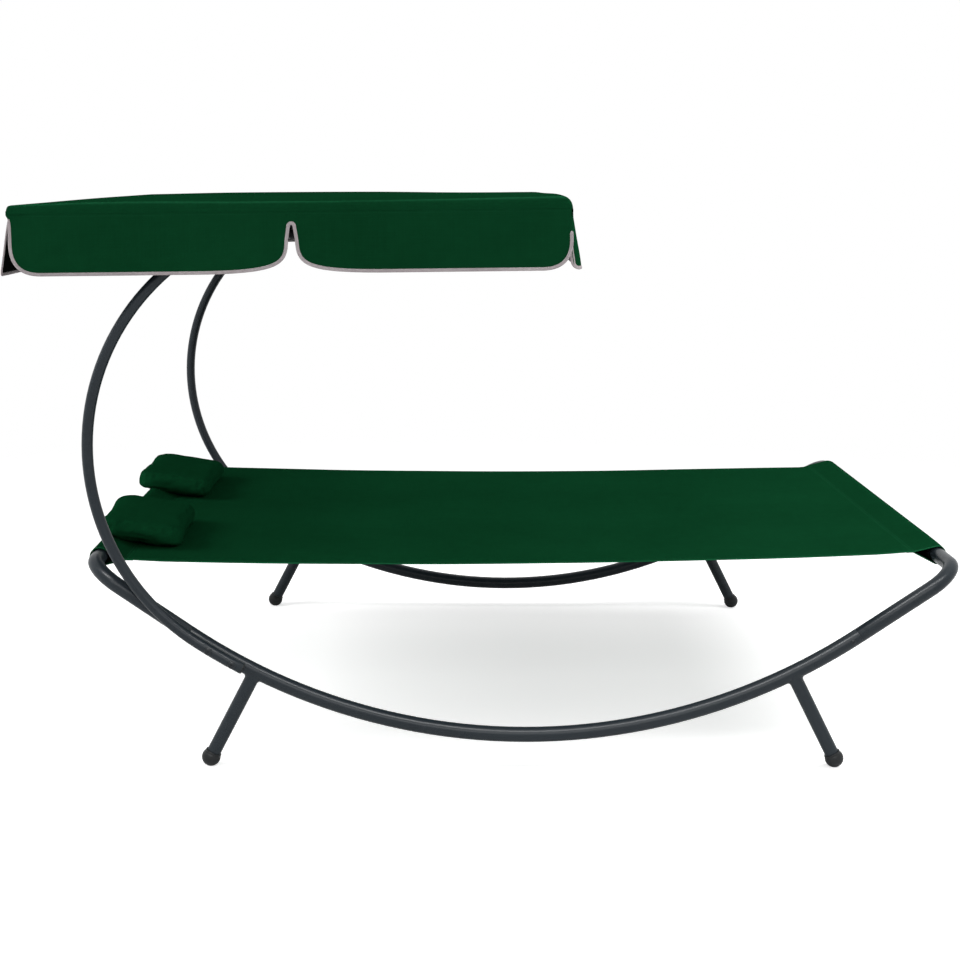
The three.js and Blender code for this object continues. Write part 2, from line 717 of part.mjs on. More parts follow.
addPart(canopy, 'canopy_pivot_tube', pivotTube(), frameFinish);
for (const side of sides) {
  addPart(canopy, `canopy_${side.name}_tube`, canopySideTube(side), frameFinish);
  addPart(canopy, `canopy_${side.name}_bolt`, canopyBolt(side), zincFinish);
}
for (const end of ends) {
  addPart(canopy, `canopy_${end.name}_tube`, canopyEndTube(end), frameFinish);
  for (const side of sides) {
    addPart(canopy, `canopy_${end.name}_${side.name}_sleeve`, canopySleeve(end, side), frameFinish);
  }
}

// The cover's outline at an inset from its edge, with matching points for every inset
function coverOutline(inset) {
  const cornerPoints = spread(0, Math.PI / 2, cornerSteps);
  const halfX = canopyLength / 2 - inset;
  const halfY = canopyWidth / 2 - inset;
  const radius = Math.max(coverCornerRadius - inset, coverCornerRadius * innerCornerShare);
  const corners = [[1, 1, 0], [-1, 1, 1], [-1, -1, 2], [1, -1, 3]];
  const points = corners.flatMap(([signX, signY, quarter]) => cornerPoints.map((turn) => {
    const angle = turn + (quarter * Math.PI) / 2;
    const x = signX * (halfX - radius) + radius * Math.cos(angle);
    const y = signY * (halfY - radius) + radius * Math.sin(angle);
    return new THREE.Vector2(x, y);
  }));
  return points.flatMap((point, i) => {
    const next = points[(i + 1) % points.length];
    const isEdge = i % cornerPoints.length === cornerPoints.length - 1;
    const shares = isEdge ? spread(0, 1, edgeSteps).slice(0, -1) : [0];
    return shares.map((share) => point.clone().lerp(next, share));
  });
}

// The cover sags between the tubes, rolls down over them at its edge and ends in a level hem
function canopyCover() {
  const sagAt = (p) => coverSag * (1 - (2 * p.x / canopyLength) ** 2) * (1 - (2 * p.y / canopyWidth) ** 2);
  const rollAngles = spread(Math.PI / 2, 0, rollSteps);
  const face = (depth) => {
    const radius = coverRoll - depth;
    const edge = coverOutline(coverRoll);
    const flat = coverRingShares.map((share) => edge.map((p) => {
      const inner = p.clone().multiplyScalar(share);
      return vec(inner.x, inner.y, coverTop - depth + crownAt(inner.y) - sagAt(inner));
    }));
    const roll = rollAngles.map((angle) => coverOutline(coverRoll - radius * Math.cos(angle)).map((p) =>
      vec(p.x, p.y, sideTubeHeight + radius * Math.sin(angle) + crownAt(p.y))));
    const hem = coverOutline(coverRoll - radius).map((p) => vec(p.x, p.y, sideTubeHeight - coverHem));
    return [...flat, ...roll, hem];
  };
  const outer = face(0);
  const inner = face(coverThickness).reverse();
  const middleTop = coverTop + canopyCrown - coverSag;
  const under = vec(0, 0, middleTop - coverThickness);
  return ringForm(vec(0, 0, middleTop), [...outer, ...inner], under);
}

addPart(canopy, 'canopy_cover', canopyCover(), clothFinish);

// The line of a valance's bound edge, from one corner slit to the other: X along the edge, Y up
function boundEdge({ half, corner, notches, slitDrops }) {
  const line = new THREE.Path();
  const low = -valanceDrop;
  const rise = valanceDrop - notchHeight;
  line.moveTo(-half, -slitDrops[0]);
  line.lineTo(-half, low + corner);
  line.quadraticCurveTo(-half, low, -half + corner, low);
  for (let i = 1; i <= notches; i += 1) {
    const middle = -half + (2 * half * i) / (notches + 1);
    const waist = low + notchWaistHeight;
    const tip = -rise - notchTipRadius;
    const shoulder = notchMouth * notchShoulderShare;
    const hip = notchWaist * notchHipShare;
    const hipLow = low + notchWaistHeight * notchHipHeightShare;
    line.lineTo(middle - notchMouth, low);
    line.bezierCurveTo(middle - shoulder, low, middle - hip, hipLow, middle - notchWaist, waist);
    line.lineTo(middle - notchTipRadius, tip);
    line.absarc(middle, tip, notchTipRadius, Math.PI, 0, true);
    line.lineTo(middle + notchWaist, waist);
    line.bezierCurveTo(middle + hip, hipLow, middle + shoulder, low, middle + notchMouth, low);
  }
  line.lineTo(half - corner, low);
  line.quadraticCurveTo(half, low, half, low + corner);
  line.lineTo(half, -slitDrops[1]);
  const points = line.getPoints(notchSteps);
  return points.filter((p, i) => i === 0 || p.distanceTo(points[i - 1]) > gap);
}

// Directions along a line of points, taken from each point's neighbours
function lineTangents(points) {
  return points.map((p, i) => {
    const before = points[Math.max(i - 1, 0)];
    const after = points[Math.min(i + 1, points.length - 1)];
    return after.clone().sub(before).normalize();
  });
}

// The cloth stops just inside its binding, reaches the corners above the slits and ends below the hem
function valanceCloth(panel) {
  const edge = boundEdge(panel);
  const tangents = lineTangents(edge);
  const reach = bindingWidth / 2 + gap;
  const inset = edge.map((p, i) =>
    new THREE.Vector2(p.x - tangents[i].y * reach, p.y + tangents[i].x * reach));
  const corner = panel.half + bindingWidth / 2;
  const slits = panel.slitDrops.map((drop) => gap - drop);
  const right = [[corner, slits[1]], [panel.half, 0]].map(([x, y]) => new THREE.Vector2(x, y));
  const left = [[-panel.half, 0], [-corner, slits[0]]].map(([x, y]) => new THREE.Vector2(x, y));
  inset[0].y = slits[0];
  inset[inset.length - 1].y = slits[1];
  const shape = new THREE.Shape([...left, ...inset, ...right]);
  return new THREE.ExtrudeGeometry(shape, { depth: coverThickness, steps: 1, bevelEnabled: false });
}

// Hangs a valance or its binding on one edge of the canopy, leaning outwards by its flare
function hang(geometry, { outwards, reach, flare }) {
  const along = vec(-outwards.y, outwards.x, 0);
  const place = geometry.attributes.position;
  for (let i = 0; i < place.count; i += 1) {
    const lean = reach - coverThickness + place.getZ(i) - (flare * place.getY(i)) / valanceDrop;
    const point = along.clone().multiplyScalar(place.getX(i)).addScaledVector(outwards, lean);
    place.setXYZ(i, point.x, point.y, valanceTop + place.getY(i));
  }
  return geometry;
}

function binding(panel) {
  const edge = boundEdge(panel);
  const middle = coverThickness / 2;
  const tangents = lineTangents(edge);
  const stations = edge.map((p, i) => {
    return { point: vec(p.x, p.y, middle), tangent: vec(tangents[i].x, tangents[i].y, 0) };
  });
  const section = new THREE.Shape(ovalPoints(bindingThickness / 2, bindingWidth / 2, bindingSides));
  return sweepSection(stations, section);
}

function addValance(name, panel) {
  addPart(canopy, `${name}_valance`, hang(valanceCloth(panel), panel), clothFinish);
  addPart(canopy, `${name}_valance_binding`, hang(binding(panel), panel), bindingFinish);
}

// Each panel's edge runs from its first slit to its second, seen from outside and left to right
for (const { name, sign } of sides) {
  const slitDrops = sign < 0 ? [headSlitDrop, footSlitDrop] : [footSlitDrop, headSlitDrop];
  addValance(name, {
    outwards: vec(0, sign, 0),
    reach: canopyWidth / 2,
    half: canopyLength / 2,
    corner: sideValanceCorner,
    notches: sideNotches,
    flare: valanceSideFlare,
    slitDrops,
  });
}
for (const { name, sign } of ends) {
  const slitDrop = sign < 0 ? headSlitDrop : footSlitDrop;
  addValance(name, {
    outwards: vec(sign, 0, 0),
    reach: canopyLength / 2,
    half: canopyWidth / 2 - endPanelInset,
    corner: endValanceCorner,
    notches: endNotches,
    flare: valanceEndFlare,
    slitDrops: [slitDrop, slitDrop],
  });
}

// The origin is the middle of the whole lounger's box, on the floor
const whole = new THREE.Group();
whole.add(lounger);
whole.updateMatrixWorld(true);
const middle = new THREE.Box3().setFromObject(lounger, true).getCenter(new THREE.Vector3());
lounger.position.set(-middle.x, -middle.y, 0);

export default whole;
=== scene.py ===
import math

import bpy
from mathutils import Matrix, Vector, noise


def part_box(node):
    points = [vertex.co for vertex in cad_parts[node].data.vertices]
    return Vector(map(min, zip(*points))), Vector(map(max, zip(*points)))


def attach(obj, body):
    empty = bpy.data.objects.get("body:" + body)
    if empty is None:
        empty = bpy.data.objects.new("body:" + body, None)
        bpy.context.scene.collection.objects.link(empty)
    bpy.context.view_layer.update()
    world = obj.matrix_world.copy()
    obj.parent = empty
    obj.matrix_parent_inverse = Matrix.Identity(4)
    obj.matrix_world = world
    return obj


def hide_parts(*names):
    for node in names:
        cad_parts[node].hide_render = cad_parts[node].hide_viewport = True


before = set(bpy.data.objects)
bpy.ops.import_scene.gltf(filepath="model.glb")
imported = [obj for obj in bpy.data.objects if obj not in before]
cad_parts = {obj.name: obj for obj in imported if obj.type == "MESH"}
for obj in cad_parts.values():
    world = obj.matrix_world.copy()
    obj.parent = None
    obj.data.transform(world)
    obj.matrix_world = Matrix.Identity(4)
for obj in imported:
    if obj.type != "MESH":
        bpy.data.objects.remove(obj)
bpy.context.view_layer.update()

# Sizes that the frame of the lounger has in its source, in metres and radians
BED_LENGTH = 2.0
RAIL_SIDE = 0.75
RAIL_RADIUS = 0.0175
RAIL_WALL = 0.0015
ROCKER_RADIUS = 1.343
RAIL_CLEARANCE = 0.0572
END_REACH = 0.219
END_BEND = 0.075
LEG_INSET = 0.1746
LEG_RADIUS = 0.016
FOOT_RADIUS = 0.0215
FOOT_FLAT = 0.0015
SOCKET_DEPTH = 0.004
POST_RADIUS = 0.0125
POST_WALL = 0.0015
POST_ARC = 0.5225
POST_FOOT_INSET = 0.143
POST_TANGENT_INSET = 0.0292
PIVOT_ANGLE = math.radians(173.3)
POST_BOLT_RUNS = (0.025, 0.085)
JOINT_SCREW_INSET = 0.02
COLLAR_RADIUS = 0.01705
COLLAR_BORE = 0.01285
COLLAR_LENGTH = 0.044
POST_END_GAP = 0.0006
BOSS_RADIUS = 0.009
BOSS_DROP = 0.009
GAP = 0.0003

# Sizes of the canopy, in its own place: X and Y from the pivot tube's middle, Z square to the cover
CANOPY_HALF_LENGTH = 0.5935
CANOPY_HALF_WIDTH = 0.865
CANOPY_TILT = math.radians(1.1)
CANOPY_TUBE_RADIUS = 0.011
CANOPY_TUBE_WALL = 0.0012
CANOPY_BEND = 0.045
CANOPY_JOINT_LEG = 0.06
CANOPY_CROWN = 0.006
COVER_ROLL = 0.0133
COVER_SAG = 0.006
COVER_HEM = 0.003
SIDE_TUBE_HEIGHT = 0.0133
PIVOT_RADIUS = 0.0125
TAB_HALF_WIDTH = 0.013
TAB_HALF_THICKNESS = 0.002
VALANCE_TOP = 0.01
VALANCE_DROP = 0.126
SIDE_PANEL_CORNER = 0.062
END_PANEL_CORNER = 0.014
END_PANEL_INSET = 0.008
HEAD_SLIT = 0.009
FOOT_SLIT = 0.047
SIDE_FLARE = 0.009
HEAD_END_FLARE = 0.024
FOOT_END_FLARE = 0.02
HEAD_SPREAD = 0.002
FOOT_SPREAD = 0.004
BINDING_WIDTH = 0.0076
BINDING_THICKNESS = 0.0036

# Places worked out from those sizes
lowest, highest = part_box("right_side_rail")
MIDDLE_X = (lowest.x + highest.x) / 2
lowest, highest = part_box("canopy_pivot_tube")
PIVOT = Vector(((lowest.x + highest.x) / 2, 0, (lowest.z + highest.z) / 2))
ROCKER_HEIGHT = RAIL_CLEARANCE + RAIL_RADIUS + ROCKER_RADIUS
BAR_REACH = BED_LENGTH / 2 - RAIL_RADIUS
SWEEP = math.asin((BAR_REACH - END_REACH) / ROCKER_RADIUS)
BAR_HEIGHT = ROCKER_HEIGHT - ROCKER_RADIUS * math.cos(SWEEP) + END_REACH * math.tan(SWEEP)
LEG_ANGLE = SWEEP - LEG_INSET / ROCKER_RADIUS
POST_FOOT_ANGLE = SWEEP - POST_FOOT_INSET / ROCKER_RADIUS
POST_TANGENT_ANGLE = SWEEP - POST_TANGENT_INSET / ROCKER_RADIUS
POST_SIDE = RAIL_SIDE + RAIL_RADIUS + GAP + POST_RADIUS
POST_END_ANGLE = PIVOT_ANGLE - (COLLAR_RADIUS + POST_END_GAP) / POST_ARC
SIDE_TUBE_SIDE = CANOPY_HALF_WIDTH - COVER_ROLL
END_TUBE_REACH = CANOPY_HALF_LENGTH - COVER_ROLL

UP = Vector((0, 0, 1))
ALONG_X = Vector((1, 0, 0))
ALONG_Y = Vector((0, 1, 0))
SIDES = (("right", -1), ("left", 1))
ENDS = (("head", -1), ("foot", 1))
TUBE_SIDES = 40
FINE_SIDES = 32
ARC_STEP = math.radians(1.5)
BEND_STEP = math.radians(7.5)


# Shader values and nodes

class Value:
    """A value in a shader tree. A sum that is written with it adds its Math node to the tree."""

    def __init__(self, socket):
        self.socket = socket

    def math(self, operation, *others):
        step = self.socket.id_data.nodes.new("ShaderNodeMath")
        step.operation = operation
        for socket, value in zip(step.inputs, (self, *others)):
            feed(socket, value)
        return Value(step.outputs[0])

    def __add__(self, other):
        return self.math("ADD", other)

    def __sub__(self, other):
        return self.math("SUBTRACT", other)

    def __mul__(self, other):
        return self.math("MULTIPLY", other)

    def __truediv__(self, other):
        return self.math("DIVIDE", other)

    def __abs__(self):
        return self.math("ABSOLUTE")

    def fading(self, width):
        """One where the value is nought, falling to nought at a width."""
        return self.math("MULTIPLY_ADD", -1.0 / width, 1.0).math("MAXIMUM", 0.0)


def feed(socket, value):
    """Links a value to a socket, or sets it there when it is a plain number, scale or colour."""
    if isinstance(value, Value):
        socket.id_data.links.new(value.socket, socket)
    elif socket.type == "RGBA":
        socket.default_value = (*value, 1)
    else:
        socket.default_value = value


def add_node(tree, kind, inputs=None, **settings):
    """Adds a shader node, feeds its inputs and gives its outputs by name."""
    made = tree.nodes.new("ShaderNode" + kind)
    for key, value in settings.items():
        setattr(made, key, value)
    for label, value in (inputs or {}).items():
        feed(made.inputs[label], value)
    return {socket.name: Value(socket) for socket in made.outputs}


def noise_at(tree, place, scale, detail=3.0):
    inputs = {"Vector": place, "Scale": scale, "Detail": detail, "Roughness": 0.55}
    return add_node(tree, "TexNoise", inputs)["Fac"]


def run_colours(tree, share, low, high):
    """The colour at a share of the way from one colour to another."""
    made = tree.nodes.new("ShaderNodeMix")
    made.data_type = "RGBA"
    colours = [socket for socket in made.inputs if socket.type == "RGBA"]
    for socket, value in zip([made.inputs["Factor"], *colours], (share, low, high)):
        feed(socket, value)
    return Value(next(socket for socket in made.outputs if socket.type == "RGBA"))


def new_group(name, inputs, outputs):
    """A node group: its tree, its inputs as values by name, and the sockets that take its results."""
    tree = bpy.data.node_groups.new(name, "ShaderNodeTree")
    for label, default in inputs.items():
        kind = "NodeSocketVector" if default is None else "NodeSocketFloat"
        socket = tree.interface.new_socket(label, in_out="INPUT", socket_type=kind)
        if default is not None:
            socket.default_value = default
    for label in outputs:
        tree.interface.new_socket(label, in_out="OUTPUT", socket_type="NodeSocketFloat")
    given = tree.nodes.new("NodeGroupInput").outputs
    return tree, {label: Value(given[label]) for label in inputs}, tree.nodes.new("NodeGroupOutput").inputs


# Effects that several finishes share. Counts are per metre of cloth
SLUB_COUNT_ACROSS = 420
SLUB_COUNT_ALONG = 9
MOTTLE_WEIGHTS = {"Broad": 1.3, "Fine": 0.5}
STITCH_PITCH = 0.0036
STITCH_SHARE = 0.72
STITCH_HALF_WIDTH = 0.0005
STITCH_DIP_WIDTH = 0.0022


def weave_group():
    """Plain weave: threads cross over and under each other, with a few thicker than the rest."""
    tree, given, results = new_group("plain_weave", {"Vector": None, "Pitch": 0.001}, ("Height", "Slub"))
    place = add_node(tree, "SeparateXYZ", {"Vector": given["Vector"]})
    across, along = place["X"] / given["Pitch"], place["Y"] / given["Pitch"]
    warp, weft = (abs((part * math.pi).math("SINE")) for part in (across, along))
    over = abs((across.math("FLOOR") + along.math("FLOOR")).math("MODULO", 2.0))
    feed(results["Height"], weft + (warp - weft) * over)
    threads = []
    for scale in ((SLUB_COUNT_ACROSS, SLUB_COUNT_ALONG, 1), (SLUB_COUNT_ALONG, SLUB_COUNT_ACROSS, 1)):
        drawn_out = add_node(tree, "Mapping", {"Vector": given["Vector"], "Scale": scale})["Vector"]
        threads.append(noise_at(tree, drawn_out, 1.0, 2.0))
    feed(results["Slub"], (threads[0] + threads[1]) * 0.5)
    return tree


def mottle_group():
    """Soft unevenness of a colour at two sizes, about nought."""
    tree, given, results = new_group("mottle", {"Vector": None, "Broad": 4.0, "Fine": 60.0}, ("Shift",))
    shifts = []
    for label, weight in MOTTLE_WEIGHTS.items():
        inputs = {"Vector": given["Vector"], "Scale": given[label], "Detail": 3.0}
        shifts.append((add_node(tree, "TexNoise", inputs)["Fac"] - 0.5) * weight)
    feed(results["Shift"], shifts[0] + shifts[1])
    return tree


def stitch_group():
    """A row of stitches: dashes along a line, sunk a little into the cloth."""
    tree, given, results = new_group(
        "stitch_row", {"Across": 0.0, "Along": 0.0, "Pitch": STITCH_PITCH}, ("Thread", "Dip"))
    near = abs(given["Across"])
    dash = (given["Along"] / given["Pitch"]).math("FRACT").math("LESS_THAN", STITCH_SHARE)
    feed(results["Thread"], near.math("LESS_THAN", STITCH_HALF_WIDTH) * dash)
    feed(results["Dip"], near.fading(STITCH_DIP_WIDTH))
    return tree


WEAVE = weave_group()
MOTTLE = mottle_group()
STITCH = stitch_group()


def mottle_at(tree, place, broad, fine):
    return add_node(tree, "Group", {"Vector": place, "Broad": broad, "Fine": fine}, node_tree=MOTTLE)["Shift"]


def new_finish(name):
    """A material with its tree, the inputs of its surface and the places on the object."""
    material = bpy.data.materials.new(name)
    material.use_nodes = True
    tree = material.node_tree
    return material, tree, tree.nodes["Principled BSDF"].inputs, add_node(tree, "TexCoord")["Object"]


def cut_places(tree):
    """Where a point lies on the flat cloth, in metres."""
    return add_node(tree, "UVMap", uv_map="cut")["UV"]


def coat(tree, surface, colour, roughness, sheen, height, distance):
    """Puts a colour, a roughness, a sheen and a relief on a surface."""
    raised = add_node(tree, "Bump", {"Height": height, "Distance": distance, "Strength": 1.0})
    labels = ("Base Color", "Roughness", "Specular IOR Level", "Normal")
    for label, value in zip(labels, (colour, roughness, sheen, raised["Normal"])):
        feed(surface[label], value)


# Colours and fine measures of the finishes
GREEN_DARK = (0.0022, 0.0290, 0.0097)
GREEN_LIGHT = (0.0036, 0.0455, 0.0162)
# The paler green of the painted highlight along a fold
FOLD_HIGHLIGHT_GREEN = (0.0100, 0.0900, 0.0370)
THREAD_GREEN = (0.0120, 0.0800, 0.0360)
THREAD_PITCH = 0.0011
CLOTH_RELIEF = 0.00012
FOLD_WIDTH = 0.008
RIB_PITCH = 0.0012
RIB_RELIEF = 0.0002
PEEL_RELIEF = 0.00006
PEEL_SHEEN = 0.12
MOTTLE_SHEEN = 0.15
MOTTLE_TONE = 0.8
SLUB_TONE = 0.9
# How much darker the gaps between threads are painted: painted shade
GAP_SHADE = 0.35
# How much darker the grooves between the tape's ribs are painted: painted shade
RIB_GROOVE_SHADE = 0.35
SLUB_HEIGHT = 1.5
FOLD_EVENNESS = 0.75


def paint_finish(name, dark, light, roughness, grain):
    """Sprayed or moulded skin: a fine orange peel and a soft unevenness of tone and sheen."""
    material, tree, surface, place = new_finish(name)
    mottle = mottle_at(tree, place, 3.0, 40.0)
    peel = noise_at(tree, place, grain, 2.0)
    colour = run_colours(tree, mottle + 0.5, dark, light)
    rough = (peel - 0.5) * PEEL_SHEEN + roughness + mottle * MOTTLE_SHEEN
    coat(tree, surface, colour, rough, 0.2, peel, PEEL_RELIEF)
    return material


def cloth_finish(name, dark=GREEN_DARK, light=GREEN_LIGHT, rows=(), roughness=0.8, fold=None, thread=0.6):
    """Woven cloth: threads on the flat cut with painted shade between them, a soft mottle, stitches and a
    painted highlight on a fold.
    """
    material, tree, surface, place = new_finish(name)
    cut = cut_places(tree)
    weave = add_node(tree, "Group", {"Vector": cut, "Pitch": THREAD_PITCH}, node_tree=WEAVE)
    mottle = mottle_at(tree, place, 2.6, 34.0)
    # Slubs give a real change of tone; the gaps between threads are painted darker, as painted shade
    threads = (weave["Slub"] - 0.5) * SLUB_TONE + (weave["Height"] - 0.5) * GAP_SHADE
    colour = run_colours(tree, threads + mottle * MOTTLE_TONE + 0.5, dark, light)
    height = weave["Slub"] * SLUB_HEIGHT + weave["Height"]
    on_cut = add_node(tree, "SeparateXYZ", {"Vector": cut})
    # Painted highlight: a paler green band along the fold where the cloth turns over its edge
    if fold:
        fold_highlight = abs(abs(on_cut["Y"]) - fold).fading(FOLD_WIDTH)
        colour = run_colours(tree, fold_highlight * (mottle + FOLD_EVENNESS), colour, FOLD_HIGHLIGHT_GREEN)
    for axis, position in rows:
        inputs = {"Across": abs(on_cut[axis]) - position, "Along": on_cut["Y" if axis == "X" else "X"]}
        row = add_node(tree, "Group", inputs, node_tree=STITCH)
        colour = run_colours(tree, row["Thread"] * thread, colour, THREAD_GREEN)
        height = height - row["Dip"] * (thread * 2)
    coat(tree, surface, colour, roughness, 0.0, height, CLOTH_RELIEF)
    return material


def tape_finish(name, dark, light):
    """Ribbed woven tape, with its ribs square to its length and painted shade in the grooves between them."""
    material, tree, surface, place = new_finish(name)
    run = add_node(tree, "SeparateXYZ", {"Vector": cut_places(tree)})["X"]
    rib = abs((run * (math.pi / RIB_PITCH)).math("SINE"))
    # Painted shade: the tape is lighter on each rib and darker in the grooves between ribs
    share = rib * RIB_GROOVE_SHADE + mottle_at(tree, place, 9.0, 160.0) + 0.3
    coat(tree, surface, run_colours(tree, share, dark, light), 0.7, 0.15, rib, RIB_RELIEF)
    return material


# One finish for each slot. Each green cloth has its own canvas, because its stitches lie elsewhere
PAINTS = {
    "frame_paint": ("dark_grey_paint", (0.013, 0.018, 0.0225), (0.02, 0.0262, 0.0318), 0.29, 900.0),
    "black_plastic": ("black_moulded_plastic", (0.011, 0.012, 0.013), (0.018, 0.02, 0.021), 0.36, 1500.0),
    "fastener_steel": ("dark_zinc", (0.012, 0.015, 0.018), (0.024, 0.028, 0.032), 0.32, 1200.0),
}
FINISHES = {slot: paint_finish(*paint) for slot, paint in PAINTS.items()}
FINISHES["grey_binding"] = tape_finish("grey_binding_tape", (0.21, 0.186, 0.192), (0.42, 0.376, 0.386))
BACKING = cloth_finish("dark_coated_backing", (0.003, 0.0036, 0.0034), (0.006, 0.007, 0.0066), roughness=0.6)


# Ways of making

def clamp(share):
    return min(max(share, 0.0), 1.0)


def eased(share):
    """A share from nought to one that starts and ends softly."""
    share = clamp(share)
    return share * share * (3 - 2 * share)


def placed(name, data):
    """A new object for a mesh, a lamp or a camera, put in the scene."""
    made = bpy.data.objects.new(name, data)
    bpy.context.scene.collection.objects.link(made)
    return made


def only(*pieces):
    """Selects just these pieces, in object mode, with the first one active."""
    if bpy.context.object and bpy.context.object.mode != "OBJECT":
        bpy.ops.object.mode_set(mode="OBJECT")
    bpy.ops.object.select_all(action="DESELECT")
    for piece in reversed(pieces):
        piece.select_set(True)
        bpy.context.view_layer.objects.active = piece


def edit(piece):
    """Opens a piece in edit mode, with all of it selected."""
    only(piece)
    bpy.ops.object.mode_set(mode="EDIT")
    bpy.ops.mesh.select_all(action="SELECT")


def apply_modifier(piece, kind, **settings):
    only(piece)
    made = piece.modifiers.new(kind.lower(), kind)
    for key, value in settings.items():
        setattr(made, key, value)
    bpy.ops.object.modifier_apply(modifier=made.name)


def face_outwards(piece):
    """Merges doubles and turns every face of closed shells outwards."""
    edit(piece)
    bpy.ops.mesh.remove_doubles(threshold=1e-6)
    bpy.ops.mesh.normals_make_consistent(inside=False)
    bpy.ops.object.mode_set(mode="OBJECT")


def smooth(piece, angle=35):
    only(piece)
    bpy.ops.object.shade_smooth_by_angle(angle=math.radians(angle))
    return piece


def join(name, *pieces):
    """Several shells as one piece."""
    only(*pieces)
    bpy.ops.object.join()
    pieces[0].name = name
    return pieces[0]


class Tube:
    """A tube made as on a bending bench: a ring that runs straight, bends and changes its width."""

    def __init__(self, name, place, along, radius, sides=TUBE_SIDES):
        only()
        turn = along.to_track_quat("Z", "Y").to_euler()
        bpy.ops.mesh.primitive_circle_add(vertices=sides, radius=radius, location=place, rotation=turn)
        self.piece = bpy.context.active_object
        self.piece.name = name
        bpy.ops.object.transform_apply(location=True, rotation=True, scale=True)
        edit(self.piece)
        self.place, self.along, self.radius = Vector(place), along.normalized(), radius

    def run(self, distance):
        step = self.along * distance
        bpy.ops.mesh.extrude_region_move(TRANSFORM_OT_translate={"value": step})
        self.place = self.place + step
        return self

    def bend(self, angle, centre, axis, step=BEND_STEP):
        steps = max(1, round(abs(angle) / step))
        bpy.ops.mesh.spin(steps=steps, angle=-angle, center=centre, axis=axis)
        turn = Matrix.Rotation(angle, 3, axis)
        self.along = turn @ self.along
        self.place = centre + turn @ (self.place - centre)
        return self

    def widen(self, radius):
        share = radius / self.radius
        bpy.ops.transform.resize(value=(share, share, share), center_override=self.place)
        self.radius = radius
        return self

    def turned(self, profile):
        """Carries the ring through a turned profile of radii and heights along the axis."""
        at = 0.0
        for radius, height in profile:
            self.run(height - at).widen(radius)
            at = height
        return self

    def close(self, angle=None):
        """Caps both ends, so that the shell is closed and faces outwards, and shades it at an angle."""
        bpy.ops.mesh.select_all(action="DESELECT")
        bpy.ops.mesh.select_mode(type="EDGE")
        bpy.ops.mesh.select_non_manifold()
        bpy.ops.mesh.edge_face_add()
        bpy.ops.mesh.select_mode(type="VERT")
        face_outwards(self.piece)
        return smooth(self.piece, angle) if angle else self.piece

    def open_wall(self, thickness, rim=0.0004):
        """Opens the two ends again and gives the shell its wall, inwards, with softened rims."""
        piece = self.close()
        edit(piece)
        bpy.ops.mesh.select_mode(type="FACE")
        bpy.ops.mesh.select_all(action="DESELECT")
        bpy.ops.mesh.select_face_by_sides(number=4, type="GREATER")
        bpy.ops.mesh.delete(type="ONLY_FACE")
        bpy.ops.mesh.select_mode(type="VERT")
        apply_modifier(piece, "SOLIDIFY", thickness=thickness, offset=-1.0, use_even_offset=True)
        apply_modifier(piece, "BEVEL", width=rim, segments=2, limit_method="ANGLE",
                       angle_limit=math.radians(60))
        return smooth(piece)


def dress(piece, body, slot, *nodes, canvas=None):
    """Gives a piece its finish, the slot's unless a canvas is given, its body, and hides the CAD nodes that
    it stands for.
    """
    piece.data.materials.clear()
    piece.data.materials.append(canvas or FINISHES[slot])
    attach(piece, body)
    if nodes:
        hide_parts(*nodes)
    return piece


# The rocker arc and the post's arc

def rocker_centre(side):
    return Vector((MIDDLE_X, side, ROCKER_HEIGHT))


def climb(end, angle, side, radius=ROCKER_RADIUS):
    """A point at a radius from the rocker's centre, and the direction that climbs outwards there."""
    place = rocker_centre(side) + Vector((end * math.sin(angle), 0, -math.cos(angle))) * radius
    return place, Vector((end * math.cos(angle), 0, math.sin(angle)))


def rail(side, sign):
    place, along = climb(1, SWEEP, sign * RAIL_SIDE)
    tube = Tube(f"{side}_rocker_tube", place, -along, RAIL_RADIUS)
    tube.bend(2 * SWEEP, rocker_centre(sign * RAIL_SIDE), ALONG_Y, ARC_STEP)
    dress(tube.open_wall(RAIL_WALL), "frame", "frame_paint", f"{side}_side_rail")


def u_tube(name, start, along, corner, bend, radius, sides=TUBE_SIDES, lengths=1):
    """A tube bent into a U: out to one corner, across in a few lengths, and back from the other corner."""
    tube = Tube(name, start, along, radius, sides)
    near_bend = corner - along * bend
    far_bend = Vector((near_bend.x, -near_bend.y, near_bend.z))
    axis = along.cross(ALONG_Y)
    tube.run((near_bend - start).length).bend(math.pi / 2, near_bend + ALONG_Y * bend, axis)
    for _ in range(lengths):
        tube.run(-2 * (corner.y + bend) / lengths)
    tube.bend(math.pi / 2, far_bend - ALONG_Y * bend, axis)
    return tube.run((near_bend - start).length)


def end_tube(end, sign):
    place, along = climb(sign, SWEEP, -RAIL_SIDE)
    corner = Vector((MIDDLE_X + sign * BAR_REACH, -RAIL_SIDE, BAR_HEIGHT))
    tube = u_tube(f"{end}_bar", place + along * GAP, along, corner, END_BEND, RAIL_RADIUS)
    dress(tube.open_wall(RAIL_WALL), "frame", "frame_paint", f"{end}_end_tube")


POST_ARC_STEP = math.radians(2.4)
PLUG_DEPTH = 0.012
PLUG_RIM = ((POST_RADIUS - POST_WALL - GAP, 0.0118), (POST_RADIUS - 0.0003, 0.0121),
            (POST_RADIUS - 0.0002, 0.0138), (POST_RADIUS - 0.0014, 0.0152), (POST_RADIUS * 0.5, 0.0162))


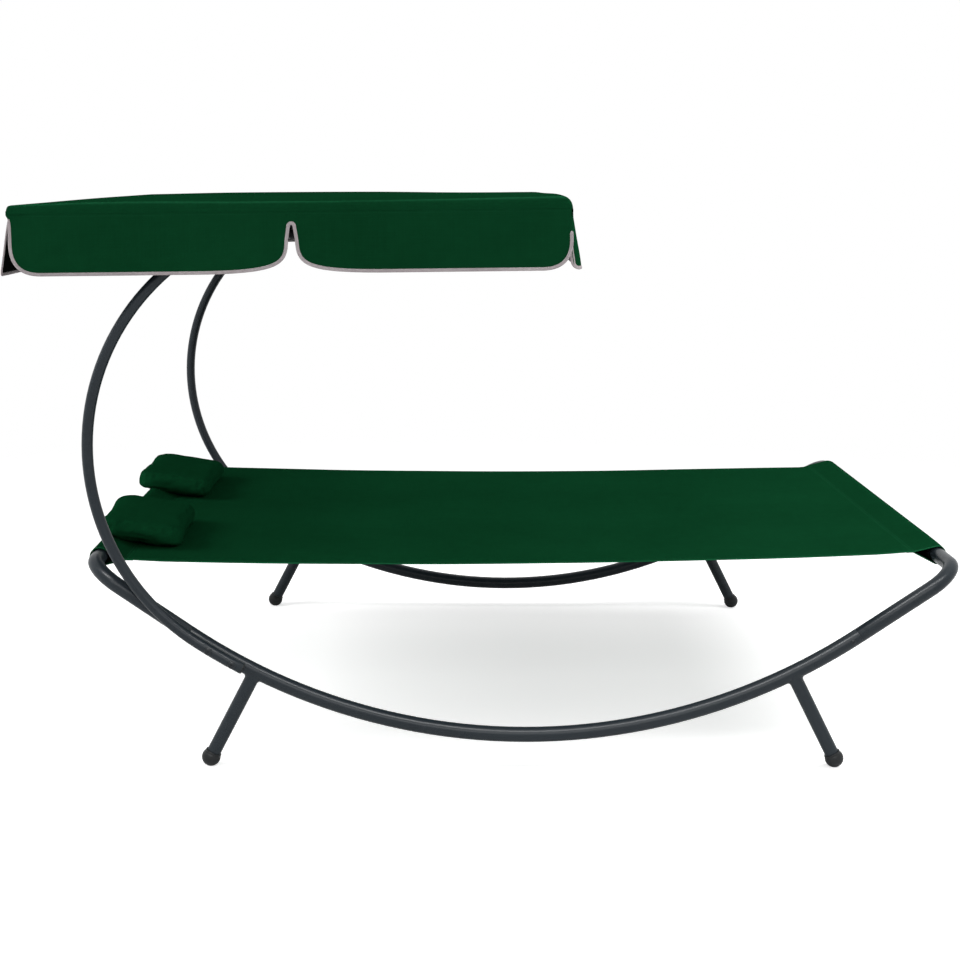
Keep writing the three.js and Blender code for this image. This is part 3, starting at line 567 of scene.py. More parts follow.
def post(side, sign):
    place, along = climb(-1, POST_FOOT_ANGLE, sign * POST_SIDE)
    tube = Tube(f"{side}_post_tube", place, along, POST_RADIUS)
    tube.bend(POST_TANGENT_ANGLE - POST_FOOT_ANGLE, rocker_centre(sign * POST_SIDE), ALONG_Y, ARC_STEP)
    centre, _ = climb(-1, POST_TANGENT_ANGLE, sign * POST_SIDE, ROCKER_RADIUS - POST_ARC)
    tube.bend(POST_END_ANGLE - POST_TANGENT_ANGLE, centre, ALONG_Y, POST_ARC_STEP)
    dress(tube.open_wall(POST_WALL), "frame", "frame_paint", f"{side}_canopy_post")
    plug = Tube(f"{side}_post_plug", place + along * PLUG_DEPTH, -along, PLUG_RIM[0][0], FINE_SIDES)
    dress(plug.turned(PLUG_RIM).close(50), "frame", "black_plastic")


# A weld that spreads from a stub onto the round tube that it stands on: each ring's spread and standoff
WELD_RINGS = ((0.0, 0.0075), (0.0004, 0.0045), (0.0016, 0.0022), (0.0034, 0.0008), (0.0050, 0.0),
              (0.0054, -0.0012))


def coped_stub(name, start, towards, reach, radius, onto_radius, onto_axis):
    """A tube from start, coped and welded to a round tube whose axis crosses its own at reach."""
    tube = Tube(name, start, towards, radius)
    centre = start + towards * reach
    across = towards.cross(onto_axis)
    step = (reach - onto_radius) / len(WELD_RINGS)
    for _ in WELD_RINGS:
        tube.run(step)
    bpy.ops.object.mode_set(mode="OBJECT")
    for vertex in tube.piece.data.vertices:
        ring = round((vertex.co - start).dot(towards) / step)
        if ring == 0:
            continue
        spread, standoff = WELD_RINGS[ring - 1]
        out = vertex.co - start
        along, side = out.dot(onto_axis) / radius, out.dot(across) / radius
        lane = radius * side + min(spread, onto_radius + GAP - radius) * side
        run = (radius + spread * abs(along)) * along
        drop = math.sqrt(max(onto_radius ** 2 - lane ** 2, 0.0)) + standoff
        vertex.co = centre + onto_axis * run + across * lane - towards * drop
    edit(tube.piece)
    return tube.close(60)


def foot_centre(end, side):
    """The middle of a ball foot, the direction up its leg and the length from there to the rail."""
    head, _ = climb(end, LEG_ANGLE, side)
    down = Vector((end * math.sin(LEG_ANGLE), 0, -math.cos(LEG_ANGLE)))
    reach = (head.z - (FOOT_RADIUS - FOOT_FLAT)) / math.cos(LEG_ANGLE)
    return head + down * reach, -down, reach


def leg(corner, end_sign, side_sign):
    centre, upwards, reach = foot_centre(end_sign, side_sign * RAIL_SIDE)
    _, along = climb(end_sign, LEG_ANGLE, 0)
    sunk = SOCKET_DEPTH - GAP
    piece = coped_stub(f"{corner}_leg_tube", centre - upwards * sunk, upwards, reach + sunk,
                       LEG_RADIUS, RAIL_RADIUS, along)
    dress(piece, "frame", "frame_paint", f"{corner}_leg")


BALL_TOP = 0.0325
BALL_POLE = 0.0004
BALL_SIDES = 48
FOOT_LIP = ((0.0186, 0.0328), (0.0190, 0.0334), (0.0190, 0.0350), (0.0184, 0.0359), (0.0172, 0.0362),
            (LEG_RADIUS + GAP, 0.0358), (LEG_RADIUS + GAP, FOOT_RADIUS - SOCKET_DEPTH))


def ball_foot(corner, end_sign, side_sign):
    """A moulded ball with a lip round the socket that the leg stands in, and a worn flat on the floor."""
    centre, upwards, _ = foot_centre(end_sign, side_sign * RAIL_SIDE)
    turns = [math.radians(degrees) for degrees in range(6, 126, 6)]
    ball = [(FOOT_RADIUS * math.sin(turn), FOOT_RADIUS * (1 - math.cos(turn))) for turn in turns]
    ball = [(radius, height) for radius, height in ball if height < BALL_TOP]
    tube = Tube(f"{corner}_foot", centre - upwards * FOOT_RADIUS, upwards, BALL_POLE, BALL_SIDES)
    piece = tube.turned([*ball, *FOOT_LIP]).close()
    edit(piece)
    bpy.ops.mesh.bisect(plane_co=(0, 0, 0), plane_no=(0, 0, -1), use_fill=True, clear_outer=True)
    face_outwards(piece)
    dress(smooth(piece, 40), "frame", "black_plastic", f"{corner}_ball_foot")


# A bolt's head: shares of its radius and height
HEAD_SHARES = ((1.0, 0.28), (0.95, 0.45), (0.78, 0.8), (0.5, 0.98))
SOCKET_SHARE = 0.5
POST_BOLT = {"radius": 0.009, "height": 0.0043, "socket": 0.0028}
JOINT_SCREW = {"radius": 0.0055, "height": 0.0033, "socket": 0.002}
CANOPY_BOLT = {"radius": 0.006, "height": 0.0043, "socket": 0.002}
NUT_RADIUS = 0.0075
NUT_HEIGHT = 0.0055
NUT_RIM = ((NUT_RADIUS, NUT_HEIGHT), (0.0068, 0.0062))
DOME_RADIUS = 0.0058
DOME = ((0.0056, 0.0015), (0.0047, 0.0026), (0.0032, 0.0033), (0.0012, 0.0035))


def bolt_head(name, place, outwards, radius, height, socket):
    """A low domed head with a round washer face and a socket in its top."""
    profile = [(radius * wide, height * high) for wide, high in HEAD_SHARES]
    profile += [(socket, height), (socket, height * SOCKET_SHARE)]
    return Tube(name, place, outwards, radius, FINE_SIDES).turned(profile).close(40)


def cap_nut(name, place, outwards):
    body = Tube(name, place, outwards, NUT_RADIUS, 6).turned(NUT_RIM).close()
    dome = Tube(name + "_dome", place + outwards * NUT_HEIGHT, outwards, DOME_RADIUS, FINE_SIDES)
    return smooth(join(name, body, dome.turned(DOME).close()), 30)


def post_bolts(side, sign):
    for height, run in zip(("lower", "upper"), POST_BOLT_RUNS):
        angle = POST_FOOT_ANGLE + run / ROCKER_RADIUS
        outside, _ = climb(-1, angle, sign * (POST_SIDE + POST_RADIUS))
        inside, _ = climb(-1, angle, sign * (RAIL_SIDE - RAIL_RADIUS))
        head = bolt_head(f"{side}_{height}_bolt", outside, ALONG_Y * sign, **POST_BOLT)
        dress(head, "frame", "fastener_steel", f"{side}_{height}_post_bolt")
        nut = cap_nut(f"{side}_{height}_cap_nut", inside, ALONG_Y * -sign)
        dress(nut, "frame", "fastener_steel", f"{side}_{height}_post_nut")


def joint_screw(corner, end_sign, side_sign):
    facing = end_sign * side_sign
    angle = SWEEP - JOINT_SCREW_INSET / ROCKER_RADIUS
    place, _ = climb(end_sign, angle, side_sign * RAIL_SIDE + facing * RAIL_RADIUS)
    head = bolt_head(f"{corner}_joint_screw", place, ALONG_Y * facing, **JOINT_SCREW)
    dress(head, "frame", "fastener_steel", f"{corner}_rail_screw")


COLLAR_RIM = 0.0007
NECK_REACH = COLLAR_RADIUS + 0.012
NECK_RADIUS = POST_RADIUS + 0.0004


def collar(side, sign):
    """The ring that holds the pivot tube, its boss for the knob and the weld that joins it to the post."""
    centre = Vector((PIVOT.x, sign * POST_SIDE, PIVOT.z))
    ring = Tube(f"{side}_collar_ring", centre - ALONG_Y * COLLAR_LENGTH / 2, ALONG_Y, COLLAR_RADIUS)
    ring = ring.run(COLLAR_LENGTH).open_wall(COLLAR_RADIUS - COLLAR_BORE, COLLAR_RIM)
    boss_reach = COLLAR_RADIUS + BOSS_DROP
    boss = coped_stub(f"{side}_collar_boss", centre - UP * boss_reach, UP, boss_reach,
                      BOSS_RADIUS, COLLAR_RADIUS, ALONG_X)
    towards = Vector((-math.cos(POST_END_ANGLE), 0, math.sin(POST_END_ANGLE)))
    neck = coped_stub(f"{side}_collar_neck", centre - towards * NECK_REACH, towards, NECK_REACH,
                      NECK_RADIUS, COLLAR_RADIUS, ALONG_Y)
    dress(join(f"{side}_collar", ring, boss, neck), "frame", "frame_paint", f"{side}_post_collar")


# The knob: its turned profile, and the lobes that are cut into its rim
KNOB_CLEARANCE = 0.003
KNOB_BASE = 0.0085
KNOB_PROFILE = ((0.0150, 0.0006), (0.0186, 0.0030), (0.0200, 0.0062), (0.0200, 0.0158), (0.0188, 0.0190),
                (0.0160, 0.0212), (0.0110, 0.0219), (0.0090, 0.0210), (0.0060, 0.0206))
LOBES = 6
LOBE_DEPTH_SHARE = 0.2
LOBE_START = 0.0095
LOBE_RUN = 0.0085
STUD_RADIUS = 0.004
STUD_SUNK = 0.001
KNOB_SIDES = 72
STUD_SIDES = 24


def knob(side, sign):
    """A lobed plastic knob on its steel stud."""
    centre = Vector((PIVOT.x, sign * POST_SIDE, PIVOT.z))
    top = COLLAR_RADIUS + BOSS_DROP + KNOB_CLEARANCE
    grip = Tube(f"{side}_knob_grip", centre - UP * top, -UP, KNOB_BASE, KNOB_SIDES)
    grip = grip.turned(KNOB_PROFILE).close()
    for vertex in grip.data.vertices:
        out = vertex.co - centre
        share = clamp((math.hypot(out.x, out.y) - LOBE_START) / LOBE_RUN)
        wave = (1 - math.cos(LOBES * math.atan2(out.y, out.x))) / 2
        scale = 1 - LOBE_DEPTH_SHARE * wave * share * share
        vertex.co.x = centre.x + out.x * scale
        vertex.co.y = centre.y + out.y * scale
    stud = Tube(f"{side}_knob_stud", centre - UP * (top + STUD_SUNK), UP, STUD_RADIUS, STUD_SIDES)
    stud = stud.run(top + STUD_SUNK - PIVOT_RADIUS - GAP).close()
    piece = smooth(join(f"{side}_knob_piece", grip, stud), 40)
    dress(piece, f"{side}_knob", "black_plastic", f"{side}_tilt_knob")


for side, sign in SIDES:
    rail(side, sign)
    post(side, sign)
    post_bolts(side, sign)
    collar(side, sign)
    knob(side, sign)
for end, sign in ENDS:
    end_tube(end, sign)
    for side, side_sign in SIDES:
        leg(f"{end}_{side}", sign, side_sign)
        ball_foot(f"{end}_{side}", sign, side_sign)
        joint_screw(f"{end}_{side}", sign, side_sign)


# The canopy's own frame, made level at the pivot and then tilted with the rest of the canopy

CANOPY_PLACE = Matrix.Translation(PIVOT) @ Matrix.Rotation(-CANOPY_TILT, 4, "Y")
ARCH_LENGTHS = 16
PRESS_SQUARENESS = 1.6
PRESS_RUN = 0.009
PRESS_STEPS = (0.0, 0.003, 0.008)
TAB_TIP = 0.004
ROUND_END = SIDE_TUBE_SIDE - CANOPY_TUBE_RADIUS - 0.02


def crown(y):
    return CANOPY_CROWN * max(0.0, 1 - (y / SIDE_TUBE_SIDE) ** 2)


def hang_canopy_piece(piece, slot, *nodes, canvas=None):
    piece.data.transform(CANOPY_PLACE)
    return dress(piece, "canopy", slot, *nodes, canvas=canvas)


def canopy_frame():
    joint = END_TUBE_REACH - CANOPY_BEND - CANOPY_JOINT_LEG
    for side, sign in SIDES:
        start = Vector((-joint, sign * SIDE_TUBE_SIDE, SIDE_TUBE_HEIGHT))
        tube = Tube(f"canopy_{side}_side_tube", start, ALONG_X, CANOPY_TUBE_RADIUS, FINE_SIDES).run(2 * joint)
        hang_canopy_piece(tube.open_wall(CANOPY_TUBE_WALL), "frame_paint", f"canopy_{side}_tube")
        seat = Vector((0, sign * SIDE_TUBE_SIDE, -TAB_HALF_THICKNESS))
        head = bolt_head(f"canopy_{side}_bolt_head", seat, -UP, **CANOPY_BOLT)
        hang_canopy_piece(head, "fastener_steel", f"canopy_{side}_bolt")
    for end, sign in ENDS:
        start = Vector((sign * (joint + GAP), -SIDE_TUBE_SIDE, SIDE_TUBE_HEIGHT))
        corner = Vector((sign * END_TUBE_REACH, -SIDE_TUBE_SIDE, SIDE_TUBE_HEIGHT))
        tube = u_tube(f"canopy_{end}_bow", start, ALONG_X * sign, corner, CANOPY_BEND, CANOPY_TUBE_RADIUS,
                      FINE_SIDES, ARCH_LENGTHS)
        piece = tube.open_wall(CANOPY_TUBE_WALL)
        for vertex in piece.data.vertices:
            vertex.co.z += crown(vertex.co.y)
        hang_canopy_piece(piece, "frame_paint", f"canopy_{end}_tube")


def pivot_tube():
    """A round tube whose two ends are pressed flat and bolted under the side tubes."""
    tip = SIDE_TUBE_SIDE + CANOPY_TUBE_RADIUS
    tube = Tube("canopy_cross_tube", Vector((0, -tip, 0)), ALONG_Y, PIVOT_RADIUS)
    rings = [ROUND_END + step for step in PRESS_STEPS] + [tip - TAB_TIP]
    for y in [-y for y in reversed(rings)] + rings + [tip]:
        tube.run(y - tube.place.y)
    piece = tube.close()
    for vertex in piece.data.vertices:
        share = eased((abs(vertex.co.y) - ROUND_END) / PRESS_RUN)
        pressed = max(-1.0, min(1.0, PRESS_SQUARENESS * vertex.co.z / PIVOT_RADIUS)) * TAB_HALF_THICKNESS
        vertex.co.z += (pressed - vertex.co.z) * share
        vertex.co.x *= 1 + (TAB_HALF_WIDTH / PIVOT_RADIUS - 1) * share
    hang_canopy_piece(smooth(piece, 40), "frame_paint", "canopy_pivot_tube")


canopy_frame()
pivot_tube()


# Cloth

CLOTH = 0.0012


def cloth_grid(name, columns, rows, place, cut):
    """A sheet from a grid: place(i, j) is where a corner goes, and cut(i, j) its spot on the flat cloth."""
    only()
    bpy.ops.mesh.primitive_grid_add(x_subdivisions=columns, y_subdivisions=rows, size=1.0, calc_uvs=True)
    piece = bpy.context.active_object
    piece.name = name
    mesh = piece.data
    steps = [(round((v.co.x + 0.5) * columns), round((v.co.y + 0.5) * rows)) for v in mesh.vertices]
    layer = mesh.uv_layers.active
    layer.name = "cut"
    for loop in mesh.loops:
        layer.data[loop.index].uv = cut(*steps[loop.vertex_index])
    for vertex, step in zip(mesh.vertices, steps):
        vertex.co = place(*step)
    return piece


def give_body(piece, **faces):
    """Gives a sheet its thickness, evenly on both sides."""
    apply_modifier(piece, "SOLIDIFY", thickness=CLOTH, offset=0.0, use_even_offset=False, **faces)
    return smooth(piece, 50)


def spaced(start, finish, steps):
    return [start + (finish - start) * i / steps for i in range(steps + 1)]


def ripple(place, size, seed=0.0):
    """Smooth repeatable unevenness from -1 to 1 at a size in metres."""
    return noise.noise(Vector((place[0] / size + seed, place[1] / size - seed, seed * 0.7)))


# Bed cloth: one strip that is sewn into a sleeve round each bar and hemmed along both edges
SEAM_INSET = 0.06
SEAM_RISE = 0.009
BED_SAG = 0.024
BED_LOWEST = 0.2
CROSS_SAG = 0.014
HEAD_WIDTH = 1.29
FOOT_WIDTH = 1.22
FOOT_SHIFT = 0.027
FOOT_SPLAY = 0.018
FOOT_SPLAY_RUN = 0.18
LOOP_RADIUS = 0.0220
HEM_WIDTH = 0.022
HEM_LIFT = 0.0007
HEM_LANE = 0.028
HEM_DROOP = 0.0025
FAR_DROOP = 0.006
FOOT_SLACK = 0.2
PUCKER = 0.0005
PUCKER_REACH = 0.05
SOFT_WAVE = 0.0012
SEAM_REACH = BAR_REACH - SEAM_INSET
STRIP = 0.0009
SEAM_BLEND = 0.008
SLEEVE_TAIL = 0.016
BED_ROWS = 60
SEAM_SHARES = (1.0, 0.6, 0.35, 0.15, 0.0)
LOOP_STEPS = 24
FLAT_LANES = 56
HEM_STITCH_INSET = 0.019
SEAM_STITCHES = (0.003, -0.004)
# Lanes of the folded hem from its raw edge to the flat cloth: inset from the bed's edge and lift
HEM_LANES = (
    (HEM_WIDTH, -2 * HEM_LIFT), (HEM_WIDTH * 0.5, -2 * HEM_LIFT), (0.0012, -2 * HEM_LIFT),
    (0.0002, -1.4 * HEM_LIFT), (0.0, -HEM_LIFT), (0.0002, -0.4 * HEM_LIFT), (0.0012, 0.0), (0.006, 0.0),
    (0.013, 0.0), (HEM_STITCH_INSET, 0.0), (HEM_WIDTH, -0.0005), (0.025, 0.0))


def bed_height(x):
    curve = BED_SAG / (SEAM_REACH + BED_LOWEST) ** 2
    return BAR_HEIGHT + SEAM_RISE - BED_SAG + curve * (x + BED_LOWEST) ** 2


def bed_half(sign):
    """The strip's line from the middle of the bed to one bar, round it, and back to the seam from below."""
    runs = spaced(0.0, SEAM_REACH - 1.5 * SEAM_BLEND, BED_ROWS)
    line = [Vector((sign * x, bed_height(sign * x))) for x in runs]
    for share in SEAM_SHARES:
        x = sign * (SEAM_REACH - SEAM_BLEND * share)
        line.append(Vector((x, bed_height(x) - STRIP * (1 - share))))
    seam, centre = line[-1], Vector((sign * BAR_REACH, BAR_HEIGHT))
    inward = seam - centre
    spread = math.acos(LOOP_RADIUS / inward.length)
    start = math.atan2(inward.y, inward.x) - sign * spread
    ring = [centre + LOOP_RADIUS * Vector((math.cos(angle), math.sin(angle)))
            for angle in spaced(start, start - sign * 2 * (math.pi - spread), LOOP_STEPS)]
    line += [seam.lerp(ring[0], share) for share in (0.06, 0.15, 0.35, 0.65, 0.9)] + ring
    under = seam - Vector((0, 2 * STRIP))
    line += [ring[-1].lerp(under, share) for share in (0.25, 0.6, 0.9, 1.0)]
    line += [under - Vector((sign * share * SLEEVE_TAIL, 0)) for share in (0.5, 1.0)]
    return line


def bed_profile():
    """The strip's whole line, its normals, its length so far from the middle, and the length to the seam."""
    head, foot = bed_half(-1), bed_half(1)
    line = head[:0:-1] + foot
    normals, runs = [], []
    for i, point in enumerate(line):
        step = (line[min(i + 1, len(line) - 1)] - line[max(i - 1, 0)]).normalized()
        normals.append(Vector((-step.y, step.x)))
        runs.append(runs[-1] + (point - line[i - 1]).length if i else 0.0)
    runs = [run - runs[len(head) - 1] for run in runs]
    return line, normals, runs, runs[len(head) - 1 + BED_ROWS + len(SEAM_SHARES)]


def bed_cloth():
    line, normals, runs, seam_run = bed_profile()
    flat_half = HEAD_WIDTH / 2
    lanes = [(-1, *lane) for lane in HEM_LANES]
    lanes += [(0, share, 0.0) for share in spaced(-1, 1, FLAT_LANES)[1:-1]]
    lanes += [(1, *lane) for lane in reversed(HEM_LANES)]

    def place(i, j):
        point, normal = line[i], normals[i]
        kind, amount, lift = lanes[j]
        x = point.x
        along = (x / BAR_REACH + 1) / 2
        half = (HEAD_WIDTH + (FOOT_WIDTH - HEAD_WIDTH) * along) / 2
        side = amount * (half - HEM_LANE) if kind == 0 else kind * (half - amount)
        share = side / half
        right, left = max(-share, 0.0), max(share, 0.0)
        in_bed = max(0.0, 1 - (x / SEAM_REACH) ** 2)
        drop = CROSS_SAG * (1 - share ** 2) * in_bed
        drop += HEM_DROOP * right ** 10 * min(in_bed * 6, 1.0)
        drop += FAR_DROOP * left ** 8 * min(in_bed * 30, 1.0) * max(x / SEAM_REACH, 0.0) ** 6
        seam_near = math.exp(-abs(abs(x) - SEAM_REACH) / PUCKER_REACH)
        lift += PUCKER * seam_near * ripple((side, x * 0.2), 0.028, 3.1)
        lift += SOFT_WAVE * ripple((x, side), 0.34, 1.7) * min(in_bed * 4, 1)
        splay = max(0.0, (x - BAR_REACH + FOOT_SPLAY_RUN) / FOOT_SPLAY_RUN)
        y = FOOT_SHIFT * along + side + FOOT_SPLAY * left * splay ** 2
        slack = FOOT_SLACK * max(x - BAR_REACH, 0.0) * (1 + 0.5 * share - 1.2 * right ** 12)
        return Vector((MIDDLE_X + x + slack + normal.x * lift, y, point.y + normal.y * lift - drop))

    def cut(i, j):
        kind, amount, _ = lanes[j]
        if kind == 0:
            return runs[i], amount * (flat_half - HEM_LANE)
        folded = j < 4 or j > len(lanes) - 5
        return runs[i], kind * (flat_half + amount if folded else flat_half - amount)

    piece = give_body(cloth_grid("bed_sling", len(line) - 1, len(lanes) - 1, place, cut))
    rows = [("Y", flat_half - HEM_STITCH_INSET)] + [("X", seam_run + step) for step in SEAM_STITCHES]
    canvas = cloth_finish("bed_canvas", rows=rows, fold=flat_half)
    dress(piece, "frame", "green_cloth", "bed_cloth", canvas=canvas)
    length = runs[-1] - runs[0]
    length * ((HEAD_WIDTH + FOOT_WIDTH) / 2 + 2 * HEM_WIDTH)


bed_cloth()


# Canopy cover: one sheet over the frame, rolled down round its edge
EAR_REACH = 0.0056
EAR_LENGTH = 0.035
EAR_SHARPNESS = 0.45
RIGHT_LIFTS = (0.0036, 0.0076, 0.0053, 0.0047, 0.0062, 0.0092)
LEFT_LIFTS = (0.0050, 0.0074, 0.0070, 0.0052, 0.0005, -0.0010)
LOWEST_LIFT = -0.001
LIFT_MIX = 1.6
HEAD_DIP = 0.0062
HEAD_DIP_RUN = 0.2
COVER_WAVE = 0.0010
ROLL_SHARES = (0.12, 0.28, 0.46, 0.64, 0.82, 1.0)
COVER_LANES = (48, 70)


def between(values, share):
    """The value at a share of the way along evenly spaced values, run smoothly from each to the next."""
    place = clamp(share) * (len(values) - 1)
    i = min(int(place), len(values) - 2)
    before, here, there, after = (values[min(max(i + k, 0), len(values) - 1)] for k in (-1, 0, 1, 2))
    t = place - i
    bend = 2 * before - 5 * here + 4 * there - after
    return here + 0.5 * t * (there - before + t * (bend + t * (3 * (here - there) + after - before)))


def cover_lift(spot):
    """How far the tight cover stands proud of its tubes: arched along its sides, and highest on the right."""
    to_foot = spot.x / CANOPY_HALF_LENGTH / 2 + 0.5
    to_left = spot.y / CANOPY_HALF_WIDTH / 2 + 0.5
    right, left = between(RIGHT_LIFTS, to_foot), between(LEFT_LIFTS, to_foot)
    at_head = max(0.0, 1 - to_foot / HEAD_DIP_RUN)
    dip = HEAD_DIP * (1 - (2 * to_left - 1) ** 2) * at_head * at_head
    mix = min(to_left * LIFT_MIX, 1.0)
    mix *= mix * (3 - 2 * mix)
    return max(LOWEST_LIFT, right + (left - right) * mix - dip)


def ear(end_distance, depth):
    """How far the pinched corner of the cloth stands out, near a head corner and down to its slit."""
    near = clamp(1 - end_distance / EAR_LENGTH)
    return EAR_REACH * near * near * max(0.0, 1 - depth) ** 0.5


def two_faced(piece, canvas, node):
    """Canopy cloth: canvas outside and a dark coating inside."""
    hang_canopy_piece(piece, "green_cloth", node, canvas=canvas)
    piece.data.materials.append(BACKING)
    return give_body(piece, material_offset=1)


def cover():
    roll = COVER_ROLL - CLOTH / 2
    quarter = roll * math.pi / 2
    rolled = [quarter * share for share in ROLL_SHARES] + [quarter + COVER_HEM]
    flat_x = CANOPY_HALF_LENGTH - COVER_ROLL
    flat_y = CANOPY_HALF_WIDTH - COVER_ROLL
    xs, ys = ([-flat - run for run in reversed(rolled)] + spaced(-flat, flat, steps)
              + [flat + run for run in rolled] for flat, steps in zip((flat_x, flat_y), COVER_LANES))

    def on_top(base, height):
        """A point of the flat part of the cover, over its frame's arch."""
        share_x, share_y = base.x / CANOPY_HALF_LENGTH, base.y / CANOPY_HALF_WIDTH
        sag = COVER_SAG * (1 - share_x ** 2) * (1 - share_y ** 2)
        soft = COVER_WAVE * ripple(base, 0.3, 2.2) * (1 - max(abs(share_x), abs(share_y)) ** 6)
        return Vector((base.x, base.y, height + roll - sag + soft + cover_lift(base)))

    def place(i, j):
        x, y = xs[i], ys[j]
        base = Vector((max(-flat_x, min(flat_x, x)), max(-flat_y, min(flat_y, y))))
        over = Vector((x, y)) - base
        height = SIDE_TUBE_HEIGHT + crown(base.y)
        reach = max(abs(over.x), abs(over.y))
        if reach == 0.0:
            return on_top(base, height)
        angle = min(reach / roll, math.pi / 2)
        drop = max(reach - quarter, 0.0)
        down = reach / rolled[-1]
        spot = base + over.normalized() * roll * math.sin(angle)
        if x < 0:
            corner = Vector((-flat_x, math.copysign(flat_y, y)))
            sharper = 1 + EAR_SHARPNESS * min(abs(over.x), abs(over.y)) / reach
            pinch = ear((base - corner).length, 0.0) * min(down * 6, 1.0) * (1.25 - 0.3 * down) * sharper
            spot += Vector((-1, math.copysign(1, y))) * pinch
        elif over.x > 0:
            spot.x += FOOT_SPREAD * down
        height += roll * math.cos(angle) - drop + cover_lift(base) * (1 - down)
        return Vector((spot.x, spot.y, height))

    piece = cloth_grid("canopy_roof", len(xs) - 1, len(ys) - 1, place, lambda i, j: (xs[i], ys[j]))
    two_faced(piece, cloth_finish("cover_canvas", fold=flat_y), "canopy_cover")
    2 * xs[-1]
    2 * ys[-1]


cover()


# Valances and the tape that binds them

def curve(points, steps):
    """A smooth run from the first of a few guiding points to the last, without its start."""
    made = []
    for i in range(1, steps + 1):
        guides = points
        while len(guides) > 1:
            guides = [a.lerp(b, i / steps) for a, b in zip(guides, guides[1:])]
        made.append(guides[0])
    return made


NOTCH_HEIGHT = 0.102
NOTCH_TIP = 0.0065
NOTCH_WAIST = 0.011
NOTCH_WAIST_HEIGHT = 0.067
NOTCH_MOUTH = 0.2
NOTCH_SHOULDER = NOTCH_MOUTH * 0.11
NOTCH_HIP = NOTCH_WAIST * 1.18
NOTCH_HIP_HEIGHT = NOTCH_WAIST_HEIGHT * 0.27


def notch(middle):
    """A notch in the lower edge: a wide mouth that closes to a waist, and a round tip."""
    low = -VALANCE_DROP
    tip = low + NOTCH_HEIGHT - NOTCH_TIP
    flank = ((NOTCH_MOUTH, low), (NOTCH_SHOULDER, low), (NOTCH_HIP, low + NOTCH_HIP_HEIGHT),
             (NOTCH_WAIST, low + NOTCH_WAIST_HEIGHT))
    before, after = ([Vector((middle + sign * x, y)) for x, y in flank] for sign in (-1, 1))
    round_tip = [Vector((middle + NOTCH_TIP * math.cos(turn), tip + NOTCH_TIP * math.sin(turn)))
                 for turn in spaced(math.pi, 0, EDGE_STEPS)]
    line = [before[0]] + curve(before, FLANK_STEPS) + curve((before[-1], round_tip[0]), SHORT_STEPS)
    line += round_tip[1:] + curve((round_tip[-1], after[-1]), SHORT_STEPS)
    return line + curve(after[::-1], FLANK_STEPS)


def bound_edge(half, corner, notches, slits):
    """The middle of the binding, from one corner slit to the other: X along the edge, Y up."""
    low = -VALANCE_DROP
    line = [Vector((-half, -slits[0]))]
    line += curve((line[-1], Vector((-half, low + corner))), SHORT_STEPS)
    line += curve((line[-1], Vector((-half, low)), Vector((-half + corner, low))), EDGE_STEPS)
    for i in range(1, notches + 1):
        cut_out = notch(-half + 2 * half * i / (notches + 1))
        line += curve((line[-1], cut_out[0]), EDGE_STEPS) + cut_out[1:]
    line += curve((line[-1], Vector((half - corner, low))), EDGE_STEPS)
    line += curve((line[-1], Vector((half, low)), Vector((half, low + corner))), EDGE_STEPS)
    return line + curve((line[-1], Vector((half, -slits[1]))), SHORT_STEPS)


EDGE_STEPS = 14
FLANK_STEPS = 36
SHORT_STEPS = 8
CURL_LENGTH = 0.03
EAR_DROP = 0.0075
FOOT_CURL = 0.017
BROAD_WAVE = 0.0030
FINE_WAVE = 0.0016


class Panel:
    """One side of the canopy's skirt: where it hangs, how it leans, how it waves and how its ends curl in."""

    def __init__(self, name, outwards, reach, half, corner, notches, flare, slits, curl, pinched, seed):
        self.name, self.outwards, self.reach, self.half = name, outwards, reach, half
        self.corner, self.flare, self.curl, self.pinched, self.seed = corner, flare, curl, pinched, seed
        self.along = Vector((-outwards.y, outwards.x, 0))
        self.edge = bound_edge(half, corner, notches, slits)

    def hang(self, x, y, out):
        """The place of a point on the panel: x along it, y up from its top line, out from its outer face."""
        depth = max(-y / VALANCE_DROP, 0.0)
        wave = BROAD_WAVE * depth ** 1.4 * ripple((x, y * 0.3), 0.16, self.seed)
        wave += FINE_WAVE * depth ** 2 * ripple((x, y), 0.055, self.seed + 4)
        lean = self.reach + out + self.flare * depth + wave
        if self.curl:
            near_end = max(0.0, 1 - (self.half - abs(x)) / CURL_LENGTH) * min(depth * 4, 1.0)
            lean -= self.curl * near_end ** 2
            x -= math.copysign(self.curl * 0.35 * near_end ** 3, x)
        if self.pinched[x > 0]:
            pinch = ear(self.half - abs(x), max(-y, 0.0) / EAR_DROP)
            x += math.copysign(pinch, x)
            lean += pinch
        return self.along * x + self.outwards * lean + UP * (VALANCE_TOP + y)


SKIRT_CANVAS = cloth_finish("skirt_canvas", rows=[("Y", 0.0045)], thread=0.15)
TOP_LANES = (0.007, 0.0035, 0.0004, -0.0004, -0.0024, -0.0045, -0.0065)
LAP_END = 0.0004
LAP_DEPTH = CLOTH * 1.08


def lap(y):
    """How far the cloth is set back where it runs up behind the cover's hem."""
    return -LAP_DEPTH * clamp((y + LAP_END) / (2 * LAP_END))


